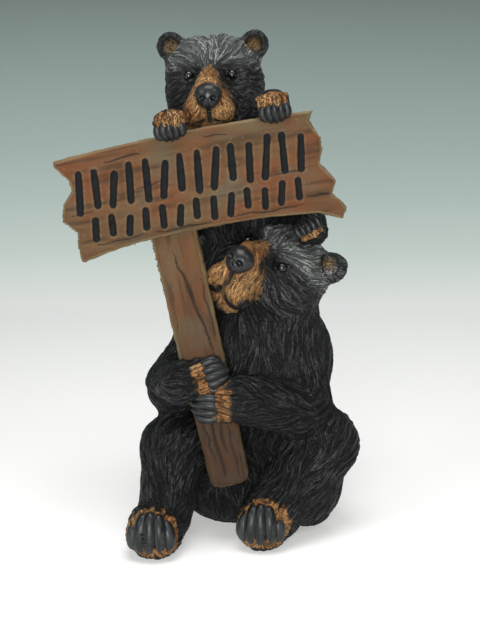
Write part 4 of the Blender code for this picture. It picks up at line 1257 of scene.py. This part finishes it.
def backdrop_paint():
    """Matt colour that darkens with height, with a faint painted glow of its own."""
    material, shader, shade = new_material("backdrop_paint")
    height = shade.node("SeparateXYZ", {}, {"Vector": shade.place()}, output=2)
    tone = shade.node("ValToRGB", {"stops": BACKDROP_TONES}, {"Fac": height * (1.0 / TONE_HEIGHT)})
    cloud = shade.noise(3.0, 2.0)
    shade.tree.links.new(tone.socket, shader.inputs["Base Color"])
    shade.tree.links.new(tone.socket, shader.inputs["Emission Color"])
    shade.tree.links.new((0.75 + 0.1 * cloud).socket, shader.inputs["Roughness"])
    shader.inputs["Emission Strength"].default_value = BACKDROP_GLOW
    return material


sheet = bpy.data.meshes.new("backdrop")
bm = bmesh.new()
profile = [(SHEET_FRONT, 0.0), (SHEET_BACK - SHEET_BEND, 0.0)]
for step in range(1, BEND_STEPS + 1):
    angle = math.radians(90.0 * step / BEND_STEPS)
    profile.append((SHEET_BACK - SHEET_BEND + SHEET_BEND * math.sin(angle),
                    SHEET_BEND - SHEET_BEND * math.cos(angle)))
profile.append((SHEET_BACK, SHEET_TOP))
line = [bm.verts.new((-SHEET_HALF, back, up)) for back, up in profile]
edges = [bm.edges.new(pair) for pair in zip(line, line[1:])]
grown = bmesh.ops.extrude_edge_only(bm, edges=edges)
moved = [item for item in grown["geom"] if isinstance(item, bmesh.types.BMVert)]
bmesh.ops.translate(bm, verts=moved, vec=(2.0 * SHEET_HALF, 0.0, 0.0))
bm.to_mesh(sheet)
bm.free()
sheet.polygons.foreach_set("use_smooth", np.ones(len(sheet.polygons), dtype=bool))
sheet.materials.append(backdrop_paint())
new_piece("backdrop", sheet)


def add_lamp(name, place, aim, size, power):
    """A soft square lamp turned towards a point."""
    light = bpy.data.lights.new(name, "AREA")
    light.size = size
    light.energy = power
    lamp = bpy.data.objects.new(name, light)
    lamp.location = place
    lamp.rotation_euler = (Vector(aim) - Vector(place)).to_track_quat("-Z", "Y").to_euler()
    bpy.context.scene.collection.objects.link(lamp)


# Each lamp: its name, its place, the point it faces, its width and its power in watts
for lamp in (("top_lamp", (0.0, -0.45, 1.5), (0.0, 0.0, 0.2), 0.8, 13.5),
             ("left_lamp", (-1.1, -0.9, 0.9), (0.0, 0.0, 0.25), 0.6, 5.0),
             ("right_lamp", (0.9, -0.9, 1.2), (0.0, 0.0, 0.25), 0.6, 3.5),
             ("front_lamp", (-0.1, -1.35, 0.36), (0.0, 0.0, 0.28), 0.5, 14.0),
             ("back_lamp", (0.4, 0.95, 1.25), (0.0, 0.0, 0.25), 0.6, 3.0)):
    add_lamp(*lamp)

world = bpy.data.worlds.new("room")
bpy.context.scene.world = world
world.use_nodes = True
room_light = world.node_tree.nodes["Background"].inputs
room_light["Color"].default_value = ROOM_COLOUR
room_light["Strength"].default_value = ROOM_STRENGTH
bpy.context.scene.view_settings.view_transform = "Standard"

lens = bpy.data.cameras.new("eye_level")
lens.sensor_fit = "VERTICAL"
lens.sensor_height = SENSOR_HEIGHT
lens.lens = LENS_LENGTH
camera = bpy.data.objects.new("eye_level", lens)
camera.location = CAMERA_PLACE
camera.rotation_euler = (math.radians(90.0 - CAMERA_DIP), 0.0, 0.0)
bpy.context.scene.collection.objects.link(camera)
bpy.context.scene.camera = camera
